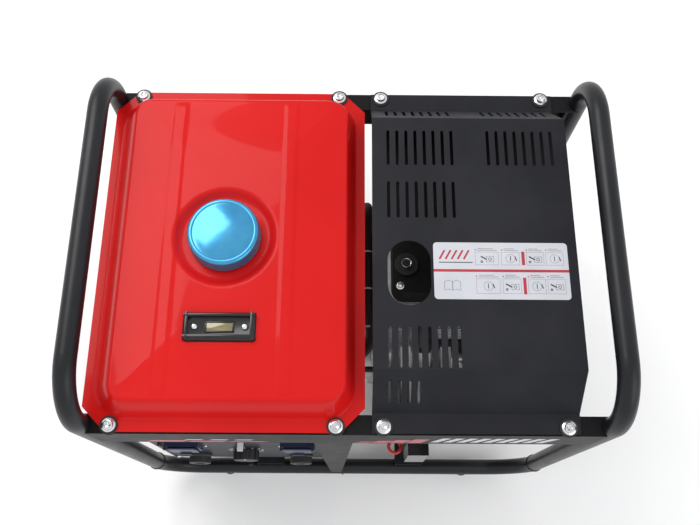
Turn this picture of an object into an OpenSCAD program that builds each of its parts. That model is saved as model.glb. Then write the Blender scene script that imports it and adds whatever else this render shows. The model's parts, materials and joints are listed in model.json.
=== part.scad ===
// Engine driven welder: a single-cylinder diesel set in an open tube frame.
// Origin on the floor under the middle of the frame, +X to the engine end, +Z up, -Y is the panel side.

/* [Frame] */
// Length over the two end hoops
frame_length = 720; // [716:1:900]
// Depth over the legs
frame_depth = 512; // [500:1:640]
// Height of the top of the handles
frame_height = 658; // [650:1:820]
// Height of the top face of the two upper rails
deck_height = 560; // [556:1:680]
// Outside diameter of the frame tube
tube_d = 28; // [25:0.5:32]
// Wall of the frame tube
tube_wall = 2; // [1.5:0.25:3]
// Centre-line radius of the bends at the handles
handle_bend = 70; // [40:1:80]
// Centre-line radius of the bends at the base
base_bend = 80; // [45:1:85]
// Height of the rubber feet
foot_height = 15; // [10:1:25]
// Height of the folded face of the upper rails
rail_drop = 82; // [60:1:85]
// Sheet thickness of the upper rails and the base beams
rail_sheet = 3; // [2:0.5:4]

/* [Fuel tank] */
// Length of the tank flange, along X
tank_length = 369; // [340:1:372]
// Depth of the tank pan under the flange
pan_depth = 84; // [60:1:88]
// Height of the pressed top over the flange
tank_rise = 43; // [34:1:60]
// Thickness of the tank sheet
tank_sheet = 1.5; // [1:0.25:2.5]
// Diameter of the filler neck
neck_d = 60; // [50:1:70]
// Diameter of the filler cap
cap_d = 98; // [84:1:104]
// Height of the filler cap over the tank top
cap_rise = 24; // [18:1:34]
// Diameter of the shallow dish round the cap
dish_d = 143; // [130:1:150]
// Length of the fuel gauge
gauge_length = 97; // [70:1:100]
// Width of the fuel gauge
gauge_width = 40; // [30:1:46]

/* [Engine cover] */
// Length of the engine cover, along X
cover_length = 271; // [240:1:275]
// Gap between the tank flange and the cover
cover_gap = 9; // [6:1:16]
// Height of the cover's flat top over the rails
cover_rise = 60; // [45:1:80]
// Thickness of the cover's sheet
cover_sheet = 2; // [1.5:0.25:2.5]
// Width of one cooling slot
slot_width = 4.5; // [3:0.5:6]
// Distance from one cooling slot to the next
slot_pitch = 12.6; // [10:0.1:13]
// Length of the long cooling slots
slot_length = 54; // [40:1:56]
// Width of the oval hand hole
hand_hole_w = 57; // [45:1:60]
// Length of the oval hand hole
hand_hole_l = 90; // [70:1:95]

/* [Engine and alternator] */
// Height of the crankshaft over the vibration mounts
crank_rise = 150; // [140:1:160]
// Radius of the crankshaft's main journals
journal_r = 20; // [16:0.5:24]
// Radial running clearance of the shafts and pins
running_gap = 0.05; // [0.02:0.01:0.1]
// Outside radius of the fan housing
fan_housing_r = 132; // [124:1:136]
// Outside radius of the stator housing
stator_r = 112; // [100:1:116]
// Length of the stator housing
stator_length = 190; // [160:1:195]
// Outside width of the cylinder's cooling fins
fin_width = 146; // [130:1:150]
// Radius of the muffler's drum
muffler_r = 52; // [45:1:56]
// Radius of the air cleaner's bowl
cleaner_r = 56; // [48:1:58]

/* [Control panel] */
// Width of the control panel
panel_width = 288; // [270:1:292]
// Height of the control panel
panel_height = 366; // [340:1:370]
// Depth of the control panel's box
panel_depth = 92; // [80:1:95]
// Diameter of the current knob
knob_d = 44; // [36:1:50]
// Bore of the two welding sockets
weld_bore_r = 6.5; // [5:0.25:8]

/* [Hidden] */
$fn = 64;
hull_fn = 32;
eps = 0.01;

// Frame lines
tube_r = tube_d / 2;
leg_x = frame_length / 2 - tube_r;
leg_y = frame_depth / 2 - tube_r;
base_z = foot_height + tube_r;
handle_z = frame_height - tube_r;
leg_foot_z = base_z + base_bend;
edge_gap = 2;
deck_y = frame_depth / 2 - edge_gap;
rail_width = 26;
bolt_y = frame_depth / 2 - 12;
beam_z = base_z + tube_r;
beam_h = 20;
beam_w = 50;
mount_h = 30;
mount_r = 20;
mount_z = beam_z + beam_h;
seat_z = mount_z + mount_h;

// Stack of rubber and sheet on the rails
pad_h = 2;
flange_z = deck_height + pad_h;
tank_seam_z = flange_z + tank_sheet;
tank_flange_top = tank_seam_z + tank_sheet;
tank_top = tank_flange_top + tank_rise;
tank_x0 = -frame_length / 2 + 15;
tank_x1 = tank_x0 + tank_length;
tank_y = deck_y - edge_gap;
flange_lip = 15;
corner_cut = 32;
tank_corner_r = 46;
cap_x = tank_x0 + 179;
cap_y = 3;
gauge_x = tank_x0 + 179.5;
gauge_y = -123;
tank_bolt_x = [tank_x0 + 38, tank_x1 - 38];
cover_x0 = tank_x1 + cover_gap;
cover_x1 = cover_x0 + cover_length;
cover_top = deck_height + cover_rise;
cover_bolt_x = [cover_x0 + 15, cover_x1 - 16];
bolt_r = 3;
bolt_head_r = 9.5;
grommet_r = 12;

// Engine and alternator lines, all on the crankshaft's axis
crank_z = seat_z + crank_rise;
engine_x0 = cover_x0 + 9;
bore_x = engine_x0 + fin_width / 2;
case_x0 = engine_x0 - 2;
case_x1 = case_x0 + 160;
case_y = 98;
case_top = crank_z + 88;
cylinder_h = 98;
head_z = case_top + cylinder_h;
head_h = 54;
rocker_z = head_z + head_h;
rocker_h = 48;
fan_x0 = case_x1;
fan_depth = 66;
fan_x1 = fan_x0 + fan_depth;
recoil_depth = 22;
recoil_r = 96;
stator_x1 = case_x0 - 62;
stator_x0 = stator_x1 - stator_length;
bracket_depth = 44;
left_mount_x = stator_x0 + 70;
right_mount_x = case_x0 + 78;
mount_y = 92;

// Control panel and electrics
panel_x0 = tank_x0 + 31;
panel_x1 = panel_x0 + panel_width;
panel_z1 = deck_height - rail_drop - 4;
panel_z0 = panel_z1 - panel_height;
panel_y = -deck_y + 20;
panel_sheet = 2;

// A straight tube from the origin, along +Z
module tube_run(length) {
    difference() {
        cylinder(r = tube_r, h = length);
        translate([0, 0, -eps]) cylinder(r = tube_r - tube_wall, h = length + 2 * eps);
    }
}

// A quarter bend of tube round the origin, in the XY plane
module tube_bend(bend_r) {
    rotate_extrude(angle = 90) translate([bend_r, 0]) difference() {
        circle(r = tube_r);
        circle(r = tube_r - tube_wall);
    }
}

// A block between two corners
module block(low, high) {
    translate(low) cube(high - low);
}

// A cylinder along X between two places
module rod_x(x0, x1, y, z, r) {
    translate([x0, y, z]) rotate([0, 90, 0]) cylinder(r = r, h = x1 - x0);
}

// A cylinder along Y between two places
module rod_y(y0, y1, x, z, r) {
    translate([x, y0, z]) rotate([-90, 0, 0]) cylinder(r = r, h = y1 - y0);
}

// A flat outline with round ends, centred, long way along Y
module stadium(width, length) {
    half = (length - width) / 2;
    square([width, 2 * half], center = true);
    for (side = [-1, 1]) translate([0, side * half]) circle(d = width);
}

// A rectangle with round corners from corner to corner
module round_rect(low, high, r) {
    hull() for (x = [low[0] + r, high[0] - r], y = [low[1] + r, high[1] - r])
        translate([x, y]) circle(r = r, $fn = hull_fn);
}

// A smooth pipe through a list of points, with a ball at each bend
module pipe(points, r) {
    for (i = [1 : len(points) - 1]) {
        step = points[i] - points[i - 1];
        length = norm(step);
        turn = atan2(step[1], step[0]);
        lean = acos(step[2] / length);
        translate(points[i - 1]) rotate([0, lean, turn]) cylinder(r = r, h = length, $fn = hull_fn);
    }
    for (i = [1 : len(points) - 2]) translate(points[i]) sphere(r = r, $fn = hull_fn);
}

// One end hoop: two legs, two bends and a handle across the top
module hoop(x) {
    leg_len = handle_z - handle_bend - leg_foot_z;
    bend_y = leg_y - handle_bend;
    for (side = [-1, 1]) translate([x, side * leg_y, leg_foot_z]) tube_run(leg_len);
    for (side = [-1, 1]) translate([x, side * bend_y, handle_z - handle_bend])
        rotate([90, 0, 90]) mirror([side > 0 ? 0 : 1, 0]) tube_bend(handle_bend);
    translate([x, -bend_y, handle_z]) rotate([-90, 0, 0]) tube_run(2 * bend_y);
}

module left_hoop() {
    color("#16171a") hoop(-leg_x);
}

module right_hoop() {
    color("#16171a") hoop(leg_x);
}

// One base tube: a run along X with both ends bent up to meet the legs
module base_tube(y) {
    run = leg_x - base_bend;
    translate([-run, y, base_z]) rotate([0, 90, 0]) tube_run(2 * run);
    for (side = [-1, 1]) translate([side * run, y, base_z + base_bend])
        rotate([90, 0, 0]) mirror([side > 0 ? 0 : 1, 0]) mirror([0, 1]) tube_bend(base_bend);
}

module front_base_tube() {
    color("#16171a") base_tube(-leg_y);
}

module rear_base_tube() {
    color("#16171a") base_tube(leg_y);
}

// An upper rail for the front: a top strip and a folded face, with welded nuts
module top_rail() {
    nut_r = 6.5;
    nut_h = 6;
    hole_r = bolt_r + running_gap;
    difference() {
        union() {
            block([-leg_x, -deck_y, deck_height - rail_sheet], [leg_x, -deck_y + rail_width, deck_height]);
            block([-leg_x, -deck_y, deck_height - rail_drop], [leg_x, -deck_y + rail_sheet, deck_height]);
            for (x = concat(tank_bolt_x, cover_bolt_x)) translate([x, -bolt_y, deck_height - rail_sheet - nut_h])
                cylinder(r = nut_r, h = nut_h + eps, $fn = 6);
        }
        for (x = concat(tank_bolt_x, cover_bolt_x)) translate([x, -bolt_y, deck_height - rail_sheet - nut_h - 1])
            cylinder(r = hole_r, h = rail_sheet + nut_h + 2);
        for (side = [-1, 1]) translate([side * leg_x, -leg_y, deck_height - rail_drop - 1])
            cylinder(r = tube_r, h = rail_drop + 2);
    }
}

module front_top_rail() {
    color("#1b1c1f") top_rail();
}

module rear_top_rail() {
    color("#1b1c1f") mirror([0, 1, 0]) top_rail();
}

// Two folded channels across the base tubes
module base_beams() {
    color("#1b1c1f") for (x = [left_mount_x, right_mount_x]) difference() {
        block([x - beam_w / 2, -leg_y, beam_z], [x + beam_w / 2, leg_y, beam_z + beam_h]);
        block([x - beam_w / 2 + rail_sheet, -leg_y - 1, beam_z - 1],
              [x + beam_w / 2 - rail_sheet, leg_y + 1, beam_z + beam_h - rail_sheet]);
    }
}

// Four rubber feet under the base tubes, each hollowed to the tube
module rubber_feet() {
    foot_r = tube_r;
    foot_x = leg_x - base_bend - 40;
    color("#1d1d1d") for (x = [-foot_x, foot_x], y = [-leg_y, leg_y]) difference() {
        translate([x, y, 0]) cylinder(r1 = foot_r, r2 = foot_r - 2, h = base_z - 4);
        translate([x - foot_r - 1, y, base_z]) rotate([0, 90, 0]) cylinder(r = tube_r, h = 2 * foot_r + 2);
    }
}

// Four rubber mounts between the beams and the machine
module vibration_mounts() {
    waist_r = mount_r - 3;
    plate_h = 3;
    color("#222222") for (x = [left_mount_x, right_mount_x], y = [-mount_y, mount_y]) translate([x, y, mount_z]) {
        cylinder(r = mount_r, h = plate_h);
        cylinder(r = waist_r, h = mount_h);
        translate([0, 0, mount_h - plate_h]) cylinder(r = mount_r, h = plate_h);
    }
}

// A tapered sheet strut from the front rail down to the front base tube
module front_strut() {
    top_z = deck_height - rail_drop;
    low_z = base_z + tube_r;
    top_w = 54;
    low_w = 20;
    tip_drop = 8;
    x = tank_x1 - 42;
    color("#4a4c50") difference() {
        translate([x, -leg_y - tube_r + rail_sheet + edge_gap, 0]) rotate([90, 0, 0]) linear_extrude(rail_sheet) {
            polygon([[-top_w / 2, top_z], [top_w / 2, top_z], [low_w / 2, low_z], [low_w / 4, low_z - tip_drop],
                     [-low_w / 4, low_z - tip_drop], [-low_w / 2, low_z]]);
        }
        translate([x - top_w, -leg_y, base_z]) rotate([0, 90, 0]) cylinder(r = tube_r, h = 2 * top_w);
    }
}

// Outline of the tank flange, a rectangle with cut corners
module flange_outline(inset) {
    x0 = tank_x0 + inset;
    x1 = tank_x1 - inset;
    y = tank_y - inset;
    polygon([[x0 + corner_cut, -y], [x1 - corner_cut, -y], [x1, -y + corner_cut], [x1, y - corner_cut],
             [x1 - corner_cut, y], [x0 + corner_cut, y], [x0, y - corner_cut], [x0, -y + corner_cut]]);
}

// The raised body of the tank: foot, shoulder and crown, shrunk by the inset
module tank_body(inset) {
    foot = flange_lip + inset;
    shoulder = foot + 16;
    crown = shoulder + 30;
    levels = [[foot, tank_flange_top - tank_sheet - inset, 1],
              [shoulder, tank_top - 10 - inset, 4],
              [crown, tank_top - 1 - inset, 1]];
    hull() for (level = levels) translate([0, 0, level[1]]) linear_extrude(level[2])
        round_rect([tank_x0 + level[0], -tank_y + level[0]], [tank_x1 - level[0] + 4, tank_y - level[0]], tank_corner_r);
}

// Holes for the four flange bolts' rubber bushes
module tank_bolt_holes() {
    for (x = tank_bolt_x, y = [-bolt_y, bolt_y]) translate([x, y, flange_z - 1])
        cylinder(r = bolt_r + 3, h = 3 * pad_h + tank_rise);
}

module tank_shell() {
    dish_depth = 6;
    dish_z = tank_top - dish_depth;
    gauge_cut = 8;
    color("#d81f24") difference() {
        union() {
            translate([0, 0, tank_seam_z]) linear_extrude(tank_sheet) flange_outline(0);
            tank_body(0);
        }
        difference() {
            tank_body(tank_sheet);
            translate([cap_x, cap_y, dish_z - tank_sheet]) cylinder(d = dish_d + 2 * tank_sheet, h = tank_rise);
            block([gauge_x - gauge_length / 2 - gauge_cut, gauge_y - gauge_width / 2 - gauge_cut, tank_top - gauge_cut],
                  [gauge_x + gauge_length / 2 + gauge_cut, gauge_y + gauge_width / 2 + gauge_cut, tank_top + 1]);
        }
        translate([cap_x, cap_y, dish_z]) cylinder(d = dish_d, h = tank_rise);
        translate([cap_x, cap_y, flange_z]) cylinder(d = neck_d, h = tank_rise);
        block([gauge_x - gauge_length / 2, gauge_y - gauge_width / 2, tank_top - gauge_cut + tank_sheet],
              [gauge_x + gauge_length / 2, gauge_y + gauge_width / 2, tank_top + 1]);
        translate([gauge_x, gauge_y, flange_z]) cylinder(r = gauge_width / 2 - 4, h = tank_rise);
        for (x = tank_bolt_x, y = [-bolt_y, bolt_y]) translate([x, y, tank_flange_top])
            cylinder(r = grommet_r + running_gap, h = 3 * pad_h);
        tank_bolt_holes();
    }
}

module tank_pan() {
    side = flange_lip + 6;
    outlet_r = 6;
    color("#d81f24") difference() {
        union() {
            translate([0, 0, flange_z]) linear_extrude(tank_sheet) flange_outline(0);
            pan_solid(side, 0);
        }
        pan_solid(side + tank_sheet, tank_sheet);
        tank_bolt_holes();
        translate([tap_x, tap_y, flange_z - pan_depth - 1]) cylinder(r = outlet_r, h = pan_depth);
    }
}

// The deep part of the pan, between the rails
module pan_solid(side, floor_up) {
    y = tank_y - rail_width - 3 - (side - flange_lip);
    translate([0, 0, flange_z - pan_depth + floor_up]) linear_extrude(pan_depth + tank_sheet + (floor_up > 0 ? 1 : 0))
        round_rect([tank_x0 + side, -y], [tank_x1 - side, y], tank_corner_r);
}

// Neck that the cap locks on, from inside the tank to its rim
neck_top = tank_top + 8;
module filler_neck() {
    wall = 2;
    rim = 4;
    color("#b9bcc0") translate([cap_x, cap_y, 0]) rotate_extrude() {
        translate([neck_d / 2 - wall, tank_top - 26]) square([wall, neck_top - tank_top + 26]);
        translate([neck_d / 2 - wall, neck_top - wall]) square([wall + rim, wall]);
    }
}

// Gauze basket hanging in the neck
module fuel_strainer() {
    basket_r = neck_d / 2 - 5;
    wall = 1.2;
    depth = 62;
    lip_h = 1.5;
    color("#c9cbcc") translate([cap_x, cap_y, 0]) rotate_extrude() {
        translate([basket_r - wall, neck_top - depth]) square([wall, depth]);
        translate([0, neck_top - depth]) square([basket_r, wall]);
        translate([basket_r - wall, neck_top]) square([neck_d / 2 + 2 - basket_r, lip_h]);
    }
}

// Sprung bayonet plate that closes the neck under the cap
plate_z = neck_top + 2.5;
stem_r = 6;
module cap_plate() {
    plate_r = neck_d / 2 + 6;
    color("#a9abad") translate([cap_x, cap_y, plate_z]) {
        cylinder(r = plate_r, h = 3);
        cylinder(r = stem_r, h = 8);
    }
}

// Domed cap with a rolled rim and a skirt down into the dish, turned from one profile
module fuel_cap() {
    wall = 2;
    rim = 3;
    dome = 5;
    dome_steps = 6;
    r = cap_d / 2;
    skirt_z = tank_top - 3;
    top_z = tank_top + cap_rise;
    dome_w = r - 8;
    dome_r = (dome_w * dome_w + dome * dome) / (2 * dome);
    dome_angle = asin(dome_w / dome_r);
    stem_hole = stem_r + running_gap;
    inner_z = plate_z + 4;
    profile = [[0, plate_z + 9], [stem_hole, plate_z + 9], [stem_hole, inner_z], [r - wall, inner_z],
               [r - wall, skirt_z], [r, skirt_z], [r, top_z - dome - rim], [r - rim, top_z - dome]];
    crown = [for (i = [0 : dome_steps]) let (a = dome_angle * (1 - i / dome_steps))
        [dome_r * sin(a), top_z - dome_r + dome_r * cos(a)]];
    color("#4aa8d8") translate([cap_x, cap_y, 0]) rotate_extrude() polygon(concat(profile, crown));
}

module gauge_housing() {
    rim = 1.5;
    seat = tank_top - 8 + tank_sheet;
    barrel_r = gauge_width / 2 - 5;
    color("#151515") difference() {
        union() {
            translate([0, 0, seat]) linear_extrude(6) round_rect(
                [gauge_x - gauge_length / 2 + rim, gauge_y - gauge_width / 2 + rim],
                [gauge_x + gauge_length / 2 - rim, gauge_y + gauge_width / 2 - rim], 6);
            translate([gauge_x, gauge_y, seat - 30]) cylinder(r = barrel_r, h = 31);
        }
        block([gauge_x - 18, gauge_y - 7, seat + 2], [gauge_x + 18, gauge_y + 7, seat + 8]);
        for (side = [-1, 1]) translate([gauge_x + side * 33, gauge_y, seat + 1]) cylinder(r = 4, h = 6);
    }
}

// Flanged bolts through the rubber bushes into the rails
module flange_bolts() {
    color("#c6c8ca") {
        for (x = tank_bolt_x, y = [-bolt_y, bolt_y]) translate([x, y, 0]) flange_bolt(tank_flange_top + pad_h);
        for (x = cover_bolt_x, y = [-bolt_y, bolt_y]) translate([x, y, 0]) flange_bolt(flange_z + cover_sheet + pad_h);
    }
}

module flange_bolt(seat) {
    washer_h = 1.6;
    head_h = 5;
    socket_r = 3.4;
    difference() {
        union() {
            translate([0, 0, deck_height - 12]) cylinder(r = bolt_r, h = seat - deck_height + 12);
            translate([0, 0, seat]) cylinder(r = bolt_head_r, h = washer_h);
            translate([0, 0, seat + washer_h]) cylinder(r = bolt_head_r - 3, h = head_h - washer_h);
        }
        translate([0, 0, seat + washer_h + 1]) cylinder(r = socket_r, h = head_h);
    }
}

// Rubber bushes, each with a pad under and over the sheet
module flange_grommets() {
    color("#1a1a1a") {
        for (x = tank_bolt_x, y = [-bolt_y, bolt_y]) translate([x, y, 0]) grommet(tank_flange_top);
        for (x = cover_bolt_x, y = [-bolt_y, bolt_y]) translate([x, y, 0]) grommet(flange_z + cover_sheet);
    }
}

module grommet(sheet_top) {
    bore = bolt_r + running_gap;
    sleeve_r = bolt_r + 2.5;
    difference() {
        union() {
            translate([0, 0, deck_height]) cylinder(r = grommet_r, h = pad_h);
            translate([0, 0, deck_height]) cylinder(r = sleeve_r, h = sheet_top - deck_height + pad_h);
            translate([0, 0, sheet_top]) cylinder(r = grommet_r, h = pad_h);
        }
        translate([0, 0, deck_height - 1]) cylinder(r = bore, h = sheet_top - deck_height + pad_h + 2);
    }
}

// Fold lines of the engine cover across the frame
fold_y = deck_y - 74;
foot_y = deck_y - 28;
module cover_profile(t) {
    lip_z = flange_z;
    polygon([[-deck_y + edge_gap, lip_z], [-foot_y + t, lip_z], [-fold_y + t / 2, cover_top - t],
             [fold_y - t / 2, cover_top - t], [foot_y - t, lip_z], [deck_y - edge_gap, lip_z],
             [deck_y - edge_gap, lip_z + t],
             [foot_y, lip_z + t], [fold_y, cover_top], [-fold_y, cover_top], [-foot_y, lip_z + t],
             [-deck_y + edge_gap, lip_z + t]]);
}

// A block of parallel slots from the place of the first one
module slot_block(x, y, count, length) {
    for (i = [0 : count - 1]) translate([x + i * slot_pitch, y, flange_z]) linear_extrude(cover_rise + 1)
        stadium(slot_width, length);
}

slot_x = [cover_x0 + 22, cover_x1 - 22 - 7 * slot_pitch];
hand_x = cover_x0 + 48;
hand_y = -51;
module engine_cover() {
    wall_drop = 34;
    lip_drop = 16;
    short_slot = 24;
    corner_lean = 10;
    slope_y = (fold_y + foot_y) / 2;
    color("#323338") difference() {
        union() {
            translate([cover_x0, 0, 0]) rotate([90, 0, 90]) linear_extrude(cover_length) cover_profile(cover_sheet);
            translate([cover_x1 - cover_sheet, 0, 0]) end_wall(wall_drop);
            translate([cover_x0, 0, 0]) end_wall(lip_drop);
        }
        slot_block(slot_x[0], 133, 8, slot_length);
        slot_block(slot_x[1], 133, 8, slot_length);
        slot_block(slot_x[0], 54, 8, slot_length);
        slot_block(slot_x[0], -151, 8, slot_length);
        slot_block(slot_x[0], slope_y, 8, short_slot);
        slot_block(slot_x[1], slope_y, 8, short_slot);
        slot_block(slot_x[0], -slope_y, 4, short_slot);
        translate([hand_x, hand_y, flange_z]) linear_extrude(cover_rise + 1) stadium(hand_hole_w, hand_hole_l);
        for (x = cover_bolt_x, y = [-bolt_y, bolt_y]) translate([x, y, flange_z - 1])
            cylinder(r = bolt_r + 3, h = cover_sheet + 3);
        translate([0, 0, flange_z + cover_sheet]) linear_extrude(cover_rise) polygon([
            [cover_x1, fold_y], [cover_x1 + 1, fold_y], [cover_x1 + 1, foot_y + 1], [cover_x1 - corner_lean, foot_y + 1]]);
    }
}

// A folded wall under one end of the cover's top
module end_wall(drop) {
    lean = (foot_y - fold_y) * drop / (cover_top - flange_z);
    rotate([90, 0, 90]) linear_extrude(cover_sheet) polygon([
        [-fold_y - lean, cover_top - drop], [-fold_y, cover_top - cover_sheet / 2],
        [fold_y, cover_top - cover_sheet / 2], [fold_y + lean, cover_top - drop]]);
}

label_x0 = cover_x0 + 80;
label_length = 178;
label_width = 79;
module instruction_label() {
    label_y = -48;
    sheet = 0.5;
    color("#e4e4ea") translate([label_x0, label_y - label_width / 2, cover_top]) linear_extrude(sheet)
        round_rect([0, 0], [label_length, label_width], 5);
}

// Fuel line from the tap through the filter to the pump
tap_x = tank_x1 - 44;
tap_y = -case_y - 14;
tap_z = flange_z - pan_depth;
filter_z = tap_z - 136;
pump_x = bore_x + 4;
pump_y = -case_y - 24;
pump_top = crank_z + 102;
inlet_x = pump_x - 32;
inlet_z = crank_z + 62;
module fuel_tap() {
    body_r = 9;
    color("#c7b26a") difference() {
        union() {
            translate([tap_x, tap_y, tap_z - 26]) cylinder(r = body_r, h = 26);
            rod_y(tap_y - 16, tap_y, tap_x, tap_z - 14, 7);
            translate([tap_x, tap_y, tap_z - 38]) cylinder(r = 4, h = 14);
            translate([tap_x, tap_y, tap_z]) cylinder(r = 5.5, h = 8);
        }
        rod_y(tap_y - 17, tap_y - 4, tap_x, tap_z - 14, 4 + running_gap);
    }
}

module fuel_tap_lever() {
    color("#c23028") {
        rod_y(tap_y - 24, tap_y - 5, tap_x, tap_z - 14, 4);
        block([tap_x - 5, tap_y - 24, tap_z - 44], [tap_x + 5, tap_y - 19, tap_z - 8]);
    }
}

module fuel_filter() {
    r = 17;
    h = 54;
    color("#d9d2b8") translate([tap_x, tap_y, filter_z]) {
        cylinder(r = r, h = h);
        translate([0, 0, h]) cylinder(r = r - 5, h = 5);
        translate([0, 0, h]) cylinder(r = 4, h = 14);
        translate([0, 0, -5]) cylinder(r = r - 5, h = 5);
        translate([0, 0, -14]) cylinder(r = 4, h = 14);
    }
}

// Two lengths of hose, one from the tap to the filter and one from the filter to the pump
module fuel_hose() {
    r = 5;
    color("#1c1c1c") {
        translate([tap_x, tap_y, filter_z + 68]) cylinder(r = r, h = tap_z - 38 - filter_z - 68);
        pipe([[tap_x, tap_y, filter_z - 14], [tap_x, tap_y, inlet_z], [inlet_x, tap_y, inlet_z]], r);
    }
}

// Dipstick's mouth on the front of the crankcase, and its lean
dip_x = case_x0 + 130;
dip_y = -case_y;
dip_z = crank_z - 56;
dip_r = 5;
dip_lean = 45;
dip_length = 100;

// Bore of the barrel
piston_r = 35;

// Cast crankcase with feet, an open crank chamber and a bore for the shaft
module crankcase() {
    foot_h = 12;
    chamber_r = 62;
    wall = 12;
    flat = 14;
    boss_r = 41;
    color("#8d9093") difference() {
        union() {
            hull() for (y = [-case_y + flat, case_y - flat], z = [seat_z + foot_h + flat, case_top - flat])
                rod_x(case_x0, case_x1, y, z, flat, $fn = hull_fn);
            for (y = [-mount_y, mount_y])
                block([right_mount_x - 40, y - 22, seat_z], [right_mount_x + 40, y + 22, seat_z + 30]);
            rod_y(-case_y - 7, -case_y + 1, bore_x + 34, crank_z + 4, boss_r);
            translate([dip_x, dip_y, dip_z]) rotate([dip_lean, 0, 0]) translate([0, 0, -16]) cylinder(r = dip_r + 5, h = 28);
        }
        rod_x(case_x0 + wall, case_x1 - wall, 0, crank_z, chamber_r);
        rod_x(case_x0 - 1, case_x1 + 1, 0, crank_z, journal_r + running_gap);
        translate([bore_x, 0, crank_z]) cylinder(r = piston_r, h = case_top - crank_z + 1);
        translate([dip_x, dip_y, dip_z]) rotate([dip_lean, 0, 0]) translate([0, 0, -dip_length - 6])
            cylinder(r = dip_r + running_gap, h = dip_length + 20);
    }
}

// Finned barrel between the crankcase and the head
module engine_barrel() {
    fin_t = 3;
    fin_gap = 9;
    count = floor((cylinder_h - 2 * fin_t) / fin_gap);
    barrel_r = 56;
    color("#a3a6a8") difference() {
        union() {
            translate([bore_x, 0, case_top]) cylinder(r = barrel_r, h = cylinder_h);
            for (i = [0 : count - 1]) translate([bore_x, 0, case_top + fin_t + i * fin_gap]) linear_extrude(fin_t)
                square(fin_width, center = true);
        }
        translate([bore_x, 0, case_top - 1]) cylinder(r = piston_r, h = cylinder_h + 2);
    }
}

module cylinder_head() {
    fin_t = 3;
    fin_gap = 9;
    core = 100;
    count = floor(head_h / fin_gap);
    color("#adb0b2") {
        translate([bore_x - core / 2, -core / 2, head_z]) cube([core, core, head_h]);
        for (i = [0 : count - 1]) translate([bore_x - fin_width / 2, -fin_width / 2, head_z + i * fin_gap])
            cube([fin_width, fin_width, fin_t]);
    }
}

// Rocker cover with the bores for the plug and the decompression lever
plug_x = hand_x + 3;
plug_y = hand_y + 42;
module rocker_cover() {
    wall = 3;
    half = 50;
    color("#85888b") difference() {
        translate([bore_x, 0, rocker_z]) linear_extrude(rocker_h) round_rect([-half, -half], [half, half], 18);
        translate([bore_x, 0, rocker_z - 1]) linear_extrude(rocker_h - wall + 1)
            round_rect([-half + wall, -half + wall], [half - wall, half - wall], 15);
        translate([plug_x, plug_y, rocker_z + rocker_h - wall - 1]) cylinder(r = 13 + running_gap, h = wall + 2);
        translate([bore_x + 26, -half - 1, rocker_z + 24]) rotate([-90, 0, 0]) cylinder(r = 5 + running_gap, h = wall + 2);
    }
}

// Rubber plug of the oil port in the rocker cover
module rocker_plug() {
    color("#c9cac6") translate([plug_x, plug_y, rocker_z + rocker_h - 8]) {
        cylinder(r = 13, h = 8);
        translate([0, 0, 8]) cylinder(r = 17, h = 5);
        translate([0, 0, 13]) cylinder(r = 7, h = 5);
    }
}

module decompression_lever() {
    x = bore_x + 26;
    z = rocker_z + 24;
    face_y = -50;
    color("#b02822") {
        rod_y(face_y - 12, face_y + 8, x, z, 5);
        block([x - 6, face_y - 14, z - 8], [x + 6, face_y - 9, z + 40]);
        rod_y(face_y - 26, face_y - 9, x, z + 34, 5);
    }
}

// Muffler drum with its inlet from the head and its outlet to the right
muffler_y = 148;
muffler_z = head_z + 16;
module muffler() {
    pipe_r = 16;
    x0 = bore_x - 60;
    x1 = fan_x1 - 14;
    outlet_x = fan_x1 + 30;
    color("#5c5a57") {
        rod_x(x0, x1, muffler_y, muffler_z, muffler_r);
        rod_y(fin_width / 2, muffler_y - muffler_r + 12, bore_x, muffler_z, pipe_r);
        rod_x(x1 - 1, outlet_x, muffler_y, muffler_z, pipe_r - 3);
    }
}

// Air cleaner bowl and its duct to the head
cleaner_x0 = bore_x + 82;
cleaner_y = -136;
cleaner_z = head_z + 8;
module air_cleaner() {
    bowl_length = 112;
    duct_r = 15;
    rim = 4;
    color("#232427") {
        rod_x(cleaner_x0, cleaner_x0 + bowl_length, cleaner_y, cleaner_z, cleaner_r);
        rod_x(cleaner_x0 + 22, cleaner_x0 + 30, cleaner_y, cleaner_z, cleaner_r + rim);
        rod_x(bore_x, cleaner_x0 + 1, cleaner_y + 28, cleaner_z, duct_r);
        translate([bore_x, cleaner_y + 28, cleaner_z]) sphere(r = duct_r);
        rod_y(cleaner_y + 28, -fin_width / 2, bore_x, cleaner_z, duct_r);
    }
}

module injection_pump() {
    half = 24;
    body_y = case_y + half + 20;
    color("#9fa2a4") {
        block([pump_x - half, -body_y, crank_z + 46], [pump_x + half, -case_y, crank_z + 82]);
        translate([pump_x, pump_y, crank_z + 81]) cylinder(r = 13, h = 21);
        translate([pump_x, pump_y, pump_top - 1]) cylinder(r = 6, h = 11);
        rod_x(inlet_x, pump_x - half + 1, tap_y, inlet_z, 5);
    }
}

// Steel pipe from the pump up to the injector in the head
module injector_pipe() {
    r = 3.5;
    top = pump_top + 10;
    side_x = pump_x - 30;
    high_z = head_z + 26;
    color("#b5b7b9") {
        pipe([[pump_x, pump_y, top], [pump_x, pump_y, top + 20], [side_x, pump_y, top + 20],
              [side_x, pump_y, high_z], [side_x, -fin_width / 2, high_z]], r);
        translate([pump_x, pump_y, top]) cylinder(r = 7, h = 10, $fn = 6);
    }
}

module oil_dipstick() {
    plug_h = 18;
    grip_z = 12.4;
    ring_r = 9;
    color("#d8a21c") translate([dip_x, dip_y, dip_z]) rotate([dip_lean, 0, 0]) {
        translate([0, 0, -dip_length]) cylinder(r = 2.5, h = dip_length);
        translate([0, 0, grip_z - plug_h]) cylinder(r = dip_r, h = plug_h);
        translate([0, 0, grip_z]) cylinder(r = dip_r + 5, h = 6);
        translate([0, 0, grip_z + 6 + ring_r]) rotate([90, 0, 0]) rotate_extrude()
            translate([ring_r, 0]) circle(r = 2.5);
    }
}

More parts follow.
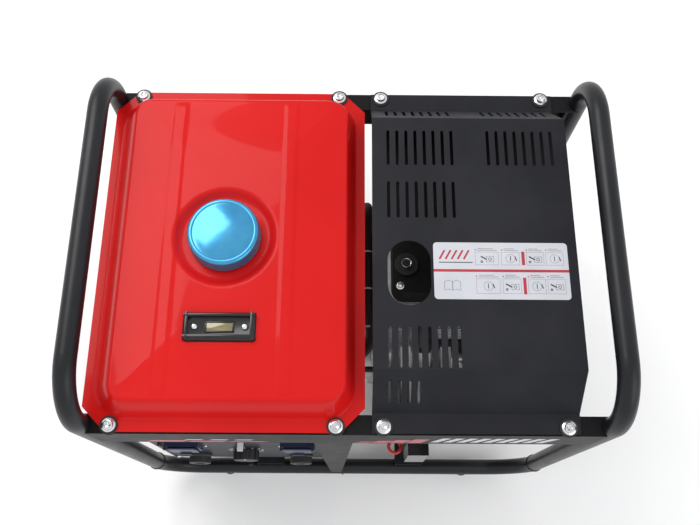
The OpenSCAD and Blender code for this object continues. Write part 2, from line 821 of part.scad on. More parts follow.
// Fan housing: a drum open towards the recoil cover, with an air outlet to the head
module fan_housing() {
    wall = 2.5;
    color("#1e1f22") difference() {
        union() {
            rod_x(fan_x0, fan_x1, 0, crank_z, fan_housing_r);
            block([fan_x0, -70, crank_z + 60], [fan_x1, 70, head_z + 40]);
        }
        rod_x(fan_x0 + wall, fan_x1 + 1, 0, crank_z, fan_housing_r - wall);
        block([fan_x0 - 1, -70 + wall, case_top + 8], [fan_x1 - wall, 70 - wall, head_z + 40 - wall]);
        block([fan_x0 + wall, -70 + wall, crank_z + 60], [fan_x1 - wall, 70 - wall, case_top + 9]);
        rod_x(fan_x0 - 1, fan_x1, 0, crank_z, 40);
    }
}

// Flywheel with a ring of fan blades and a starter ring
module flywheel() {
    disc_r = 104;
    blade_r = 116;
    blades = 20;
    blade_t = 4;
    x0 = fan_x0 + 12;
    color("#7d8084") difference() {
        union() {
            rod_x(x0, x0 + 18, 0, crank_z, disc_r);
            rod_x(x0, x0 + 40, 0, crank_z, 34);
            for (i = [0 : blades - 1]) translate([x0, 0, crank_z]) rotate([i * 360 / blades, 0, 0])
                translate([17, 58, -blade_t / 2]) cube([24, blade_r - 58, blade_t]);
        }
        rod_x(x0 - 1, x0 + 41, 0, crank_z, journal_r - 4);
    }
}

// One shaft through the engine and the alternator
module crankshaft() {
    web_r = 46;
    web_t = 16;
    throw = 35;
    pin_r = 18;
    tip_r = journal_r - 4;
    left_web = bore_x - 34;
    right_web = bore_x + 18;
    color("#b9bbbd") {
        rod_x(stator_x0 - bracket_depth + 8, case_x0, 0, crank_z, tip_r);
        rod_x(case_x0 - 4, left_web + 1, 0, crank_z, journal_r);
        rod_x(left_web, left_web + web_t, 0, crank_z, web_r);
        rod_x(left_web + web_t - 1, right_web + 1, 0, crank_z + throw - 8, pin_r);
        rod_x(right_web, right_web + web_t, 0, crank_z, web_r);
        rod_x(right_web + web_t - 1, case_x1 + 4, 0, crank_z, journal_r);
        rod_x(case_x1 + 3, fan_x0 + 52, 0, crank_z, tip_r);
    }
}

// Recoil starter's domed cover, with a ring of air slots and the rope's eye
rope_z = crank_z + 58;
handle_y = -recoil_r - 8;
module recoil_cover() {
    wall = 2;
    slots = 12;
    vent_r = 62;
    flange_r = fan_housing_r;
    color("#1e1f22") difference() {
        union() {
            rod_x(fan_x1, fan_x1 + wall, 0, crank_z, flange_r);
            rod_x(fan_x1, fan_x1 + recoil_depth, 0, crank_z, recoil_r);
            rod_y(handle_y + 6.4, -recoil_r / 2, fan_x1 + recoil_depth / 2, rope_z, 9);
        }
        rod_x(fan_x1 - 1, fan_x1 + recoil_depth - wall, 0, crank_z, recoil_r - wall);
        for (i = [0 : slots - 1]) translate([fan_x1 + recoil_depth - 4, 0, crank_z]) rotate([i * 360 / slots, 0, 0])
            translate([0, 0, vent_r]) rotate([0, 90, 0]) linear_extrude(6) rotate(90) stadium(10, 40);
        rod_y(handle_y, -recoil_r / 2 + 1, fan_x1 + recoil_depth / 2, rope_z, 4);
    }
}

module recoil_handle() {
    x = fan_x1 + recoil_depth / 2;
    r = 8;
    length = 96;
    color("#1a1a1b") {
        translate([x, handle_y - 8, rope_z - length / 2]) cylinder(r = r, h = length);
        rod_y(handle_y - 9, handle_y + 6, x, rope_z, 6);
    }
}

module starter_motor() {
    y = case_y + 38;
    z = crank_z - 40;
    x0 = case_x0 + 8;
    color("#2a2b2e") {
        rod_x(x0, case_x1 - 22, y, z, 34);
        rod_x(case_x1 - 23, case_x1 - 2, y, z, 25);
        rod_x(x0 + 24, case_x1 - 42, y + 4, z + 52, 19);
        block([x0 + 40, case_y, z - 12], [x0 + 56, y, z + 12]);
    }
}

// Speed lever on its pivot, on the crankcase's front boss
speed_x = bore_x + 34;
speed_z = crank_z + 4;
module speed_lever() {
    y = -case_y - 8;
    color("#b0b2b4") difference() {
        union() {
            rod_y(y - 6, y - 0.3, speed_x, speed_z, 9);
            block([speed_x - 5, y - 5, speed_z], [speed_x + 5, y - 1, speed_z + 36]);
        }
        rod_y(y - 5, y, speed_x, speed_z + 29, 2.5);
    }
}

// Stop wire with its red ring, drawn forward by hand
stop_x = bore_x - 34;
stop_z = crank_z + 12;
ring_y = -leg_y + 10;
module stop_ring() {
    wire_r = 3;
    ring_r = 10;
    ring_tube = 2.6;
    color("#c41f24") {
        rod_y(ring_y + ring_r, -case_y - 4, stop_x, stop_z, wire_r);
        translate([stop_x, ring_y, stop_z]) rotate_extrude() translate([ring_r, 0]) circle(r = ring_tube);
    }
}

// Cast housing between the crankcase and the stator
module bell_housing() {
    wall = 8;
    x1 = case_x0;
    x0 = stator_x1;
    windows = 8;
    color("#8d9093") difference() {
        rod_x(x0, x1, 0, crank_z, stator_r);
        rod_x(x0 - 1, x1 - wall, 0, crank_z, stator_r - wall);
        rod_x(x0, x1 + 1, 0, crank_z, journal_r + 20);
        for (i = [0 : windows - 1]) translate([(x0 + x1) / 2 - 4, 0, crank_z]) rotate([i * 360 / windows, 0, 0])
            translate([-16, -13, stator_r - wall - 2]) cube([32, 26, wall + 6]);
    }
}

// Stator drum with its feet
module stator_housing() {
    core_r = stator_r - 24;
    rib_t = 5;
    ribs = 24;
    color("#6f7275") difference() {
        union() {
            rod_x(stator_x0, stator_x1, 0, crank_z, stator_r - 3);
            for (i = [0 : ribs - 1]) translate([stator_x0 + 12, 0, crank_z]) rotate([i * 360 / ribs, 0, 0])
                translate([0, -rib_t / 2, stator_r - 8]) cube([stator_length - 24, rib_t, 8]);
            for (y = [-mount_y, mount_y])
                block([left_mount_x - 30, y - 20, seat_z], [left_mount_x + 30, y + 20, crank_z - 55]);
        }
        rod_x(stator_x0 - 1, stator_x1 + 1, 0, crank_z, core_r);
    }
}

module alternator_rotor() {
    air_gap = 1;
    r = stator_r - 24 - air_gap;
    slots = 12;
    color("#9a5a34") difference() {
        rod_x(stator_x0 + 22, stator_x1 - 22, 0, crank_z, r);
        rod_x(stator_x0, stator_x1, 0, crank_z, journal_r - 4);
        for (i = [0 : slots - 1]) translate([stator_x0, 0, crank_z]) rotate([i * 360 / slots, 0, 0])
            translate([0, -6, r - 22]) cube([stator_length, 12, 30]);
    }
}

// Louvred end bracket with the far bearing
module end_bracket() {
    wall = 6;
    slots = 10;
    x1 = stator_x0;
    x0 = stator_x0 - bracket_depth;
    color("#8d9093") difference() {
        union() {
            difference() {
                rod_x(x0, x1, 0, crank_z, stator_r - 3);
                rod_x(x0 + wall, x1 + 1, 0, crank_z, stator_r - 3 - wall);
            }
            rod_x(x0 + 1, x1 - 8, 0, crank_z, 34);
        }
        rod_x(x0 + wall, x1 + 1, 0, crank_z, journal_r - 4 + running_gap);
        for (i = [0 : slots - 1]) translate([x0 - 1, 0, crank_z]) rotate([i * 360 / slots, 0, 0])
            translate([0, -8, 50]) cube([wall + 2, 16, 36]);
    }
}

// Places on the face of the control panel
socket_half = 27;
socket_z = panel_z0 + 190;
socket_x = [panel_x0 + 52, panel_x1 - 52];
socket_depth = 8;
lid_pin_y = panel_y - socket_depth - 2.5;
lid_pin_z = socket_z + socket_half - 4;
lid_pin_r = 1.6;
weld_z = panel_z0 + 42;
weld_x = [panel_x0 + 54, panel_x1 - 54];
weld_length = 20;
knob_z = panel_z0 + 110;
mid_x = (panel_x0 + panel_x1) / 2;
toggle_z = socket_z + 6;
toggle_y = panel_y + 8;
key_x = panel_x0 + 42;
key_z = panel_z1 - 52;
shaft_r = 4;
earth_x = mid_x;
earth_z = weld_z - 10;
earth_r = 4;

// Folded box with its face, the earth stud and the holes for the fittings
module control_panel() {
    color("#23252c") difference() {
        union() {
            difference() {
                block([panel_x0, panel_y, panel_z0], [panel_x1, panel_y + panel_depth, panel_z1]);
                block([panel_x0 + panel_sheet, panel_y + panel_sheet, panel_z0 + panel_sheet],
                      [panel_x1 - panel_sheet, panel_y + panel_depth - panel_sheet, panel_z1 - panel_sheet]);
            }
            for (x = [panel_x0, panel_x1 - 24]) block([x, -deck_y + rail_sheet, panel_z1 - panel_sheet],
                [x + 24, panel_y + panel_sheet, panel_z1 + 3]);
            rod_y(panel_y - 18, panel_y + panel_sheet, earth_x, earth_z, earth_r);
            rod_y(panel_y - 3, panel_y + panel_sheet, earth_x, earth_z, 9);
            rod_y(panel_y - 6, panel_y + panel_sheet + 14, key_x, key_z, 14);
            rod_y(panel_y, panel_y + panel_sheet + 18, mid_x, knob_z, 12);
            for (side = [-1, 1]) block([mid_x + side * 8 - 2, panel_y, toggle_z - 8],
                [mid_x + side * 8 + 2, panel_y + 14, toggle_z + 8]);
        }
        rod_y(panel_y - 1, panel_y + 15, mid_x, knob_z, shaft_r + running_gap);
        rod_y(panel_y - 7, panel_y + 12, key_x, key_z, shaft_r + running_gap);
        for (x = socket_x) rod_y(panel_y - 1, panel_y + panel_sheet + 1, x, socket_z, 21.5);
        for (x = weld_x) rod_y(panel_y - 1, panel_y + panel_sheet + 1, x, weld_z, 13);
        block([mid_x - 6, panel_y - 1, toggle_z - 14], [mid_x + 6, panel_y + panel_sheet + 1, toggle_z + 14]);
        rod_x(mid_x - 11, mid_x + 11, toggle_y, toggle_z, 2 + running_gap);
    }
}

// Two flush sockets with ears for their lids' pins
module ac_sockets() {
    ear = 4;
    color("#1d3f8c") for (x = socket_x) difference() {
        union() {
            block([x - socket_half, panel_y - socket_depth, socket_z - socket_half],
                  [x + socket_half, panel_y, socket_z + socket_half]);
            rod_y(panel_y - 1, panel_y + 34, x, socket_z, 21);
            for (side = [-1, 1]) block([x + side * (socket_half - ear / 2) - ear / 2, lid_pin_y - 3, lid_pin_z - 3.5],
                [x + side * (socket_half - ear / 2) + ear / 2, panel_y - socket_depth + 1, lid_pin_z + 3.5]);
        }
        rod_y(panel_y - socket_depth - 1, panel_y + 26, x, socket_z - 2, 18);
        rod_x(x - socket_half - 1, x + socket_half + 1, lid_pin_y, lid_pin_z, lid_pin_r + running_gap);
    }
}

module socket_lid(x) {
    half = socket_half - 5;
    thick = 3;
    low = socket_z - socket_half + 2;
    block([x - half, panel_y - socket_depth - 0.5 - thick, low], [x + half, panel_y - socket_depth - 0.5, lid_pin_z]);
    rod_x(x - half, x + half, lid_pin_y, lid_pin_z, 2);
    rod_x(x - socket_half, x + socket_half, lid_pin_y, lid_pin_z, lid_pin_r);
    block([x - 9, panel_y - socket_depth - thick - 3.5, low - 2], [x + 9, panel_y - socket_depth - 0.5, low + 2]);
}

module left_socket_lid() {
    color("#2450a4") socket_lid(socket_x[0]);
}

module right_socket_lid() {
    color("#2450a4") socket_lid(socket_x[1]);
}

module breaker_toggle() {
    color("#e8e8e4") {
        rod_x(mid_x - 10, mid_x + 10, toggle_y, toggle_z, 2);
        block([mid_x - 4.5, panel_y - 12, toggle_z - 3], [mid_x + 4.5, toggle_y + 3, toggle_z + 3]);
    }
}

module ignition_key() {
    color("#2a2a2c") {
        rod_y(panel_y - 8, panel_y + 10, key_x, key_z, shaft_r);
        block([key_x - 2, panel_y - 20, key_z - 10], [key_x + 2, panel_y - 7, key_z + 10]);
    }
}

module current_knob() {
    rib_t = 4;
    ribs = 12;
    color("#1b1b1d") {
        rod_y(panel_y - 6, panel_y + 12, mid_x, knob_z, shaft_r);
        rod_y(panel_y - 18, panel_y - 0.6, mid_x, knob_z, knob_d / 2 - 2);
        for (i = [0 : ribs - 1]) translate([mid_x, panel_y - 17, knob_z]) rotate([0, i * 360 / ribs, 0])
            translate([-rib_t / 2, 0, knob_d / 2 - 4]) cube([rib_t, 15, 4]);
    }
}

// Two bayonet sockets for the welding leads
module weld_sockets() {
    collar_r = 18;
    color("#b98a3a") for (x = weld_x) difference() {
        union() {
            rod_y(panel_y - weld_length + 6, panel_y, x, weld_z, collar_r);
            rod_y(panel_y - 1, panel_y + 26, x, weld_z, 12.5);
        }
        rod_y(panel_y - weld_length + 5, panel_y + 6, x, weld_z, weld_bore_r);
    }
}

// Finned heat sink of the welding rectifier, on a tab from the front rail
module rectifier() {
    x0 = cover_x0 + 19;
    x1 = x0 + 92;
    y0 = -foot_y + 6;
    y1 = y0 + 92;
    z0 = deck_height - 78;
    fin_t = 3;
    fins = 9;
    pitch = (x1 - x0 - fin_t) / (fins - 1);
    color("#b9bcbe") {
        block([x0, y0, z0], [x1, y1, z0 + 8]);
        for (i = [0 : fins - 1]) block([x0 + i * pitch, y0, z0 + 7], [x0 + i * pitch + fin_t, y1, z0 + 46]);
        block([x0 + 10, -deck_y + rail_sheet, z0], [x1 - 10, y0 + 1, z0 + 4]);
        block([x0 + 20, y0 + 16, z0 - 18], [x1 - 20, y1 - 16, z0 + 1]);
    }
}

// Charging regulator on its upright plate, which stands on the right beam
module charge_regulator() {
    x0 = right_mount_x - 22;
    x1 = right_mount_x + 22;
    plate_y = -leg_y + tube_r + 5;
    top_z = crank_z + 60;
    color("#1a1b1e") {
        block([x0, plate_y, mount_z], [x1, plate_y + rail_sheet, top_z]);
        block([x0, plate_y, mount_z], [x1, plate_y + 24, mount_z + rail_sheet]);
        block([x0 + 5, plate_y - 26, crank_z - 60], [x1 - 5, plate_y + 1, crank_z + 40]);
    }
}

battery_x0 = left_mount_x - 158;
battery_length = 185;
battery_width = 112;
battery_height = 165;
battery_y = leg_y - tube_r - battery_width + 8;
module battery() {
    post_r = 8;
    post_h = 14;
    color("#202124") translate([battery_x0, battery_y, mount_z + rail_sheet]) {
        cube([battery_length, battery_width, battery_height - 18]);
        translate([3, 3, 0]) cube([battery_length - 6, battery_width - 6, battery_height]);
        for (x = [24, battery_length - 24]) translate([x, 26, battery_height - 1]) cylinder(r = post_r, h = post_h);
    }
}

// Folded tray with low walls round the battery
module battery_tray() {
    gap = 1;
    wall_h = 22;
    x1 = battery_x0 + battery_length;
    y1 = battery_y + battery_width;
    outer = gap + rail_sheet;
    color("#1b1c1f") difference() {
        block([battery_x0 - outer, battery_y - outer, mount_z], [x1 + outer, y1 + outer, mount_z + wall_h]);
        block([battery_x0 - gap, battery_y - gap, mount_z + rail_sheet], [x1 + gap, y1 + gap, mount_z + wall_h + 1]);
    }
}

left_hoop();
right_hoop();
front_base_tube();
rear_base_tube();
front_top_rail();
rear_top_rail();
base_beams();
rubber_feet();
vibration_mounts();
front_strut();
tank_shell();
tank_pan();
filler_neck();
fuel_strainer();
cap_plate();
fuel_cap();
gauge_housing();
fuel_tap();
fuel_tap_lever();
fuel_hose();
fuel_filter();
flange_bolts();
flange_grommets();
engine_cover();
instruction_label();
crankcase();
engine_barrel();
cylinder_head();
rocker_cover();
decompression_lever();
rocker_plug();
muffler();
air_cleaner();
injection_pump();
injector_pipe();
oil_dipstick();
fan_housing();
flywheel();
crankshaft();
recoil_cover();
recoil_handle();
starter_motor();
speed_lever();
stop_ring();
bell_housing();
stator_housing();
alternator_rotor();
end_bracket();
control_panel();
ac_sockets();
left_socket_lid();
right_socket_lid();
breaker_toggle();
ignition_key();
current_knob();
weld_sockets();
rectifier();
charge_regulator();
battery();
battery_tray();
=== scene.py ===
"""Looks of the engine driven welder, built round its CAD frame. Metres, +Z up, -Y is the panel side."""
import json
import math

import bpy
from mathutils import Matrix, Vector


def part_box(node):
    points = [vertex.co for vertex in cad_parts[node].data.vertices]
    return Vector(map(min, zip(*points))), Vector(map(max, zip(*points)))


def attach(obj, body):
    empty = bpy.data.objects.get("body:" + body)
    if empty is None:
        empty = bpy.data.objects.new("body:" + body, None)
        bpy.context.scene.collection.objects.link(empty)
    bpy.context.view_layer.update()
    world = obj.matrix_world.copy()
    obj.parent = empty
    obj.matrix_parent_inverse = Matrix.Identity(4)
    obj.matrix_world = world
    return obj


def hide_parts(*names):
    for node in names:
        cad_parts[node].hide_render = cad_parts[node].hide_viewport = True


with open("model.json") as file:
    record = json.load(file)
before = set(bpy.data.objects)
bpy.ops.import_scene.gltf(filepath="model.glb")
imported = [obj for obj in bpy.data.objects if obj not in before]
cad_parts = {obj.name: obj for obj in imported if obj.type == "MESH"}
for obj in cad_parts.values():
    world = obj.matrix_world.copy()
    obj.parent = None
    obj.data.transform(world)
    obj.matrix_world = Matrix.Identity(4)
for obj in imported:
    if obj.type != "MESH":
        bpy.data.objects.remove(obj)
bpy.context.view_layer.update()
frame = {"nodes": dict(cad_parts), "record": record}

MM = 0.001


# ---------------------------------------------------------------- materials
def new_material(name, color, metallic, roughness):
    """A Principled material and its shader."""
    mat = bpy.data.materials.new(name)
    mat.use_nodes = True
    shader = mat.node_tree.nodes["Principled BSDF"]
    shader.inputs["Base Color"].default_value = (*color, 1.0)
    shader.inputs["Metallic"].default_value = metallic
    shader.inputs["Roughness"].default_value = roughness
    return mat, shader


def noise_at(mat, scale, detail=4.0, stretch=(1, 1, 1)):
    """Noise on object coordinates, stretched along one axis where the finish has a grain."""
    nodes, links = mat.node_tree.nodes, mat.node_tree.links
    coords = nodes.new("ShaderNodeTexCoord")
    mapping = nodes.new("ShaderNodeMapping")
    mapping.inputs["Scale"].default_value = stretch
    noise = nodes.new("ShaderNodeTexNoise")
    noise.inputs["Scale"].default_value = scale
    noise.inputs["Detail"].default_value = detail
    links.new(coords.outputs["Object"], mapping.inputs["Vector"])
    links.new(mapping.outputs["Vector"], noise.inputs["Vector"])
    return noise


def ramp_between(mat, source, low, high, start=0.35, end=0.65):
    """A colour ramp from low to high, driven by a noise."""
    ramp = mat.node_tree.nodes.new("ShaderNodeValToRGB")
    ramp.color_ramp.elements[0].position = start
    ramp.color_ramp.elements[0].color = (*low, 1.0)
    ramp.color_ramp.elements[1].position = end
    ramp.color_ramp.elements[1].color = (*high, 1.0)
    mat.node_tree.links.new(source.outputs["Fac"], ramp.inputs["Fac"])
    return ramp


def mottle(mat, shader, low, high, scale, stretch=(1, 1, 1)):
    """Slow change of colour over the surface."""
    ramp = ramp_between(mat, noise_at(mat, scale, stretch=stretch), low, high)
    mat.node_tree.links.new(ramp.outputs["Color"], shader.inputs["Base Color"])


def vary_roughness(mat, shader, low, high, scale):
    """Handling marks: roughness that changes over the surface."""
    nodes, links = mat.node_tree.nodes, mat.node_tree.links
    spread = nodes.new("ShaderNodeMapRange")
    spread.inputs["To Min"].default_value = low
    spread.inputs["To Max"].default_value = high
    links.new(noise_at(mat, scale).outputs["Fac"], spread.inputs["Value"])
    links.new(spread.outputs["Result"], shader.inputs["Roughness"])


def bump(mat, shader, scale, depth, strength=1.0, stretch=(1, 1, 1), detail=4.0):
    """Fine relief of a given depth in metres."""
    nodes, links = mat.node_tree.nodes, mat.node_tree.links
    relief = nodes.new("ShaderNodeBump")
    relief.inputs["Distance"].default_value = depth
    relief.inputs["Strength"].default_value = strength
    links.new(noise_at(mat, scale, detail, stretch).outputs["Fac"], relief.inputs["Height"])
    links.new(relief.outputs["Normal"], shader.inputs["Normal"])


def satin_paint(name, low, high, roughness, sheen=0.3):
    """Powder coat or satin enamel on steel: fine orange peel and faint handling marks."""
    mat, shader = new_material(name, low, 0.0, roughness)
    shader.inputs["Specular IOR Level"].default_value = sheen
    mottle(mat, shader, low, high, 14)
    vary_roughness(mat, shader, roughness - 0.07, roughness + 0.08, 30)
    bump(mat, shader, 1500, 0.00012, 0.35)
    return mat


def gloss_enamel(name, low, high):
    """Glossy enamel with a clear coat and a very slight wave."""
    mat, shader = new_material(name, low, 0.0, 0.30)
    mottle(mat, shader, low, high, 3)
    shader.inputs["Specular IOR Level"].default_value = 0.08
    shader.inputs["Coat Weight"].default_value = 0.14
    shader.inputs["Coat Roughness"].default_value = 0.04
    bump(mat, shader, 180, 0.0002, 0.12, detail=2)
    return mat


def bare_metal(name, low, high, roughness, stretch=(1, 1, 1), scale=400, depth=0.00005):
    """Plated, turned or brushed metal."""
    mat, shader = new_material(name, low, 1.0, roughness)
    mottle(mat, shader, low, high, scale / 12, stretch)
    vary_roughness(mat, shader, max(0.05, roughness - 0.08), roughness + 0.10, scale / 8)
    bump(mat, shader, scale, depth, 0.5, stretch)
    return mat


def casting(name, low, high, roughness=0.55):
    """Sand-cast alloy or iron: coarse grain and dull sheen."""
    mat, shader = new_material(name, low, 0.85, roughness)
    mottle(mat, shader, low, high, 60)
    bump(mat, shader, 900, 0.0006, 0.5)
    return mat


def moulding(name, low, high, roughness, depth=0.00015):
    """Moulded plastic or rubber with a fine spark-eroded grain."""
    mat, shader = new_material(name, low, 0.0, roughness)
    mottle(mat, shader, low, high, 25)
    vary_roughness(mat, shader, roughness - 0.05, roughness + 0.08, 60)
    bump(mat, shader, 2200, depth, 0.45)
    return mat


def blue_film_chrome():
    """Chrome under a thin blue protective film with faint wrinkles."""
    mat, shader = new_material("blue_film_chrome", (0.03, 0.28, 0.53), 0.7, 0.2)
    mottle(mat, shader, (0.022, 0.24, 0.48), (0.05, 0.33, 0.58), 22)
    shader.inputs["Coat Weight"].default_value = 0.5
    shader.inputs["Coat Roughness"].default_value = 0.12
    bump(mat, shader, 90, 0.0006, 0.25, detail=6)
    return mat


def copper_winding():
    """Varnished copper wire, wound across the slots."""
    mat, shader = new_material("copper_winding", (0.42, 0.16, 0.06), 0.6, 0.35)
    mottle(mat, shader, (0.34, 0.12, 0.05), (0.52, 0.22, 0.08), 80, (0.1, 1, 1))
    bump(mat, shader, 500, 0.0006, 0.8, (0.05, 1, 1))
    return mat


def clear_window():
    """Amber sight window of the gauge."""
    mat, shader = new_material("amber_window", (0.20, 0.17, 0.06), 0.0, 0.12)
    mottle(mat, shader, (0.13, 0.11, 0.035), (0.34, 0.30, 0.13), 60, (0.4, 1, 1))
    shader.inputs["Coat Weight"].default_value = 1.0
    shader.inputs["Coat Roughness"].default_value = 0.03
    bump(mat, shader, 300, 0.0001, 0.2)
    return mat


FINISH = {
    "frame_paint": satin_paint("frame_paint", (0.006, 0.007, 0.009), (0.010, 0.011, 0.014), 0.34),
    "rail_paint": satin_paint("rail_paint", (0.008, 0.008, 0.009), (0.013, 0.012, 0.013), 0.45, 0.08),
    "cover_paint": satin_paint("cover_paint", (0.013, 0.0135, 0.017), (0.018, 0.0185, 0.023), 0.50, 0.14),
    "panel_paint": satin_paint("panel_paint", (0.009, 0.010, 0.017), (0.014, 0.016, 0.025), 0.40, 0.14),
    "strut_paint": satin_paint("strut_paint", (0.030, 0.030, 0.030), (0.042, 0.042, 0.042), 0.50, 0.08),
    "tank_paint": gloss_enamel("tank_paint", (0.53, 0.006, 0.006), (0.60, 0.009, 0.009)),
    "cap_film": blue_film_chrome(),
    "zinc": bare_metal("zinc", (0.62, 0.63, 0.65), (0.74, 0.75, 0.77), 0.22),
    "bright_steel": bare_metal("bright_steel", (0.48, 0.49, 0.50), (0.60, 0.61, 0.62), 0.28, (0.2, 1, 1)),
    "dull_steel": bare_metal("dull_steel", (0.36, 0.37, 0.38), (0.50, 0.51, 0.52), 0.42),
    "brass": bare_metal("brass", (0.62, 0.42, 0.14), (0.74, 0.54, 0.22), 0.30),
    "cast_alloy": casting("cast_alloy", (0.42, 0.43, 0.44), (0.54, 0.55, 0.56)),
    "fin_alloy": casting("fin_alloy", (0.52, 0.53, 0.54), (0.66, 0.67, 0.68), 0.45),
    "grey_iron": casting("grey_iron", (0.10, 0.105, 0.11), (0.15, 0.155, 0.16), 0.6),
    # The muffler's dark burnt steel, made darker still as painted shade under the cover.
    "exhaust_steel": casting("exhaust_steel", (0.035, 0.032, 0.030), (0.07, 0.062, 0.055), 0.65),
    # Near-black that stands for painted shade: it darkens the rocker cover seen in its hand hole, and the
    # sheet put under the cover where only shade falls.
    "shade_black_paint": satin_paint("shade_black_paint", (0.004, 0.004, 0.004), (0.007, 0.007, 0.007), 0.8),
    "black_rubber": moulding("black_rubber", (0.012, 0.012, 0.012), (0.020, 0.020, 0.020), 0.72),
    "black_plastic": moulding("black_plastic", (0.014, 0.014, 0.015), (0.022, 0.022, 0.024), 0.45),
    "gloss_black": moulding("gloss_black", (0.008, 0.008, 0.009), (0.012, 0.012, 0.013), 0.16, 0.00002),
    "blue_plastic": moulding("blue_plastic", (0.008, 0.014, 0.045), (0.012, 0.02, 0.06), 0.35),
    "white_plastic": moulding("white_plastic", (0.72, 0.72, 0.69), (0.80, 0.80, 0.77), 0.40),
    "red_plastic": moulding("red_plastic", (0.50, 0.015, 0.015), (0.62, 0.025, 0.02), 0.35),
    "yellow_plastic": moulding("yellow_plastic", (0.68, 0.38, 0.02), (0.78, 0.46, 0.04), 0.35),
    "amber_plastic": moulding("amber_plastic", (0.52, 0.46, 0.30), (0.64, 0.58, 0.42), 0.25),
    "pale_rubber": moulding("pale_rubber", (0.30, 0.31, 0.29), (0.38, 0.39, 0.36), 0.6),
    "green_lamp": moulding("green_lamp", (0.02, 0.36, 0.08), (0.03, 0.46, 0.12), 0.15, 0.00002),
    "copper_winding": copper_winding(),
    "amber_window": clear_window(),
    "label_film": moulding("label_film", (0.50, 0.51, 0.56), (0.54, 0.55, 0.60), 0.30, 0.00003),
    "label_red": moulding("label_red", (0.36, 0.02, 0.035), (0.42, 0.028, 0.045), 0.35, 0.00003),
    "label_grey": moulding("label_grey", (0.20, 0.20, 0.21), (0.28, 0.28, 0.29), 0.40, 0.00003),
    "label_dark": moulding("label_dark", (0.03, 0.03, 0.035), (0.06, 0.06, 0.065), 0.40, 0.00003),
}

NODE_FINISH = {
    "left_hoop": "frame_paint", "right_hoop": "frame_paint", "front_base_tube": "frame_paint",
    "rear_base_tube": "frame_paint", "front_top_rail": "rail_paint", "rear_top_rail": "rail_paint",
    "base_beams": "frame_paint", "rubber_feet": "black_rubber", "vibration_mounts": "black_rubber",
    "front_strut": "strut_paint", "tank_shell": "tank_paint", "tank_pan": "tank_paint",
    "filler_neck": "zinc", "fuel_strainer": "dull_steel", "cap_plate": "dull_steel",
    "fuel_cap": "cap_film", "gauge_housing": "gloss_black", "fuel_tap": "brass",
    "fuel_tap_lever": "red_plastic", "fuel_hose": "black_rubber", "fuel_filter": "amber_plastic",
    "flange_bolts": "zinc", "flange_grommets": "black_rubber", "engine_cover": "cover_paint",
    "instruction_label": "label_film", "crankcase": "cast_alloy", "engine_barrel": "fin_alloy",
    "cylinder_head": "fin_alloy", "rocker_cover": "shade_black_paint", "decompression_lever": "red_plastic",
    "rocker_plug": "black_rubber", "muffler": "exhaust_steel", "air_cleaner": "black_plastic",
    "injection_pump": "cast_alloy", "injector_pipe": "bright_steel", "oil_dipstick": "yellow_plastic",
    "fan_housing": "frame_paint", "flywheel": "grey_iron", "crankshaft": "bright_steel",
    "recoil_cover": "frame_paint", "recoil_handle": "black_plastic", "starter_motor": "panel_paint",
    "speed_lever": "bright_steel", "stop_ring": "red_plastic", "bell_housing": "cast_alloy",
    "stator_housing": "grey_iron", "alternator_rotor": "copper_winding", "end_bracket": "cast_alloy",
    "control_panel": "panel_paint", "ac_sockets": "blue_plastic", "left_socket_lid": "blue_plastic",
    "right_socket_lid": "blue_plastic", "breaker_toggle": "white_plastic", "ignition_key": "black_plastic",
    "current_knob": "black_plastic", "weld_sockets": "brass", "rectifier": "fin_alloy",
    "charge_regulator": "gloss_black", "battery": "black_plastic", "battery_tray": "frame_paint",
}


def paint(obj, finish):
    """Gives the whole piece one finish."""
    obj.data.materials.clear()
    obj.data.materials.append(FINISH[finish])


for node_name, node in frame["nodes"].items():
    paint(node, NODE_FINISH[node_name])


# ---------------------------------------------------------------- camera, floor and light
def place_camera():
    """Looks down from above the front edge, a little turned and tilted."""
    place = Vector((-0.00166, -0.3928, 1.5977))
    lens_mm, sensor_mm = 40.62, 36.0
    pitch, yaw, roll = (math.radians(a) for a in (70.048, 0.753, 1.131))
    forward = Vector((math.sin(yaw) * math.cos(pitch), math.cos(yaw) * math.cos(pitch), -math.sin(pitch)))
    level = Vector((math.cos(yaw), -math.sin(yaw), 0.0))
    above = level.cross(forward)
    right = math.cos(roll) * level + math.sin(roll) * above
    up = -math.sin(roll) * level + math.cos(roll) * above
    data = bpy.data.cameras.new("overhead_camera")
    data.lens = lens_mm
    data.sensor_width = sensor_mm
    camera = bpy.data.objects.new("overhead_camera", data)
    bpy.context.scene.collection.objects.link(camera)
    turn = Matrix((right, up, -forward)).transposed().to_4x4()
    camera.matrix_world = Matrix.Translation(place) @ turn
    bpy.context.scene.camera = camera


def add_light(name, place, target, size, power, color):
    """A square soft box that points at the target."""
    data = bpy.data.lights.new(name, "AREA")
    data.size = size
    data.energy = power
    data.color = color
    light = bpy.data.objects.new(name, data)
    light.location = place
    light.rotation_euler = (Vector(target) - Vector(place)).to_track_quat("-Z", "Y").to_euler()
    bpy.context.scene.collection.objects.link(light)


def add_floor():
    """A large pale floor with a soft mottled finish."""
    bpy.ops.mesh.primitive_plane_add(size=12, location=(0, 0, 0))
    floor = bpy.context.object
    floor.name = "floor"
    mat, shader = new_material("floor_paint", (0.93, 0.93, 0.94), 0.0, 0.6)
    mottle(mat, shader, (0.92, 0.92, 0.93), (0.95, 0.95, 0.95), 2)
    floor.data.materials.append(mat)


def light_world():
    """Even pale surroundings."""
    world = bpy.data.worlds.new("surroundings")
    world.use_nodes = True
    world.node_tree.nodes["Background"].inputs["Color"].default_value = (1.0, 1.0, 1.0, 1.0)
    world.node_tree.nodes["Background"].inputs["Strength"].default_value = 0.92
    bpy.context.scene.world = world
    bpy.context.scene.view_settings.view_transform = "Standard"


place_camera()
light_world()
add_floor()
add_light("key_box", (-1.2, 1.2, 2.6), (0, 0, 0.4), 1.6, 34, (1.0, 0.98, 0.96))
add_light("fill_box", (1.8, -1.6, 2.0), (0, 0, 0.3), 2.0, 18, (0.94, 0.97, 1.0))

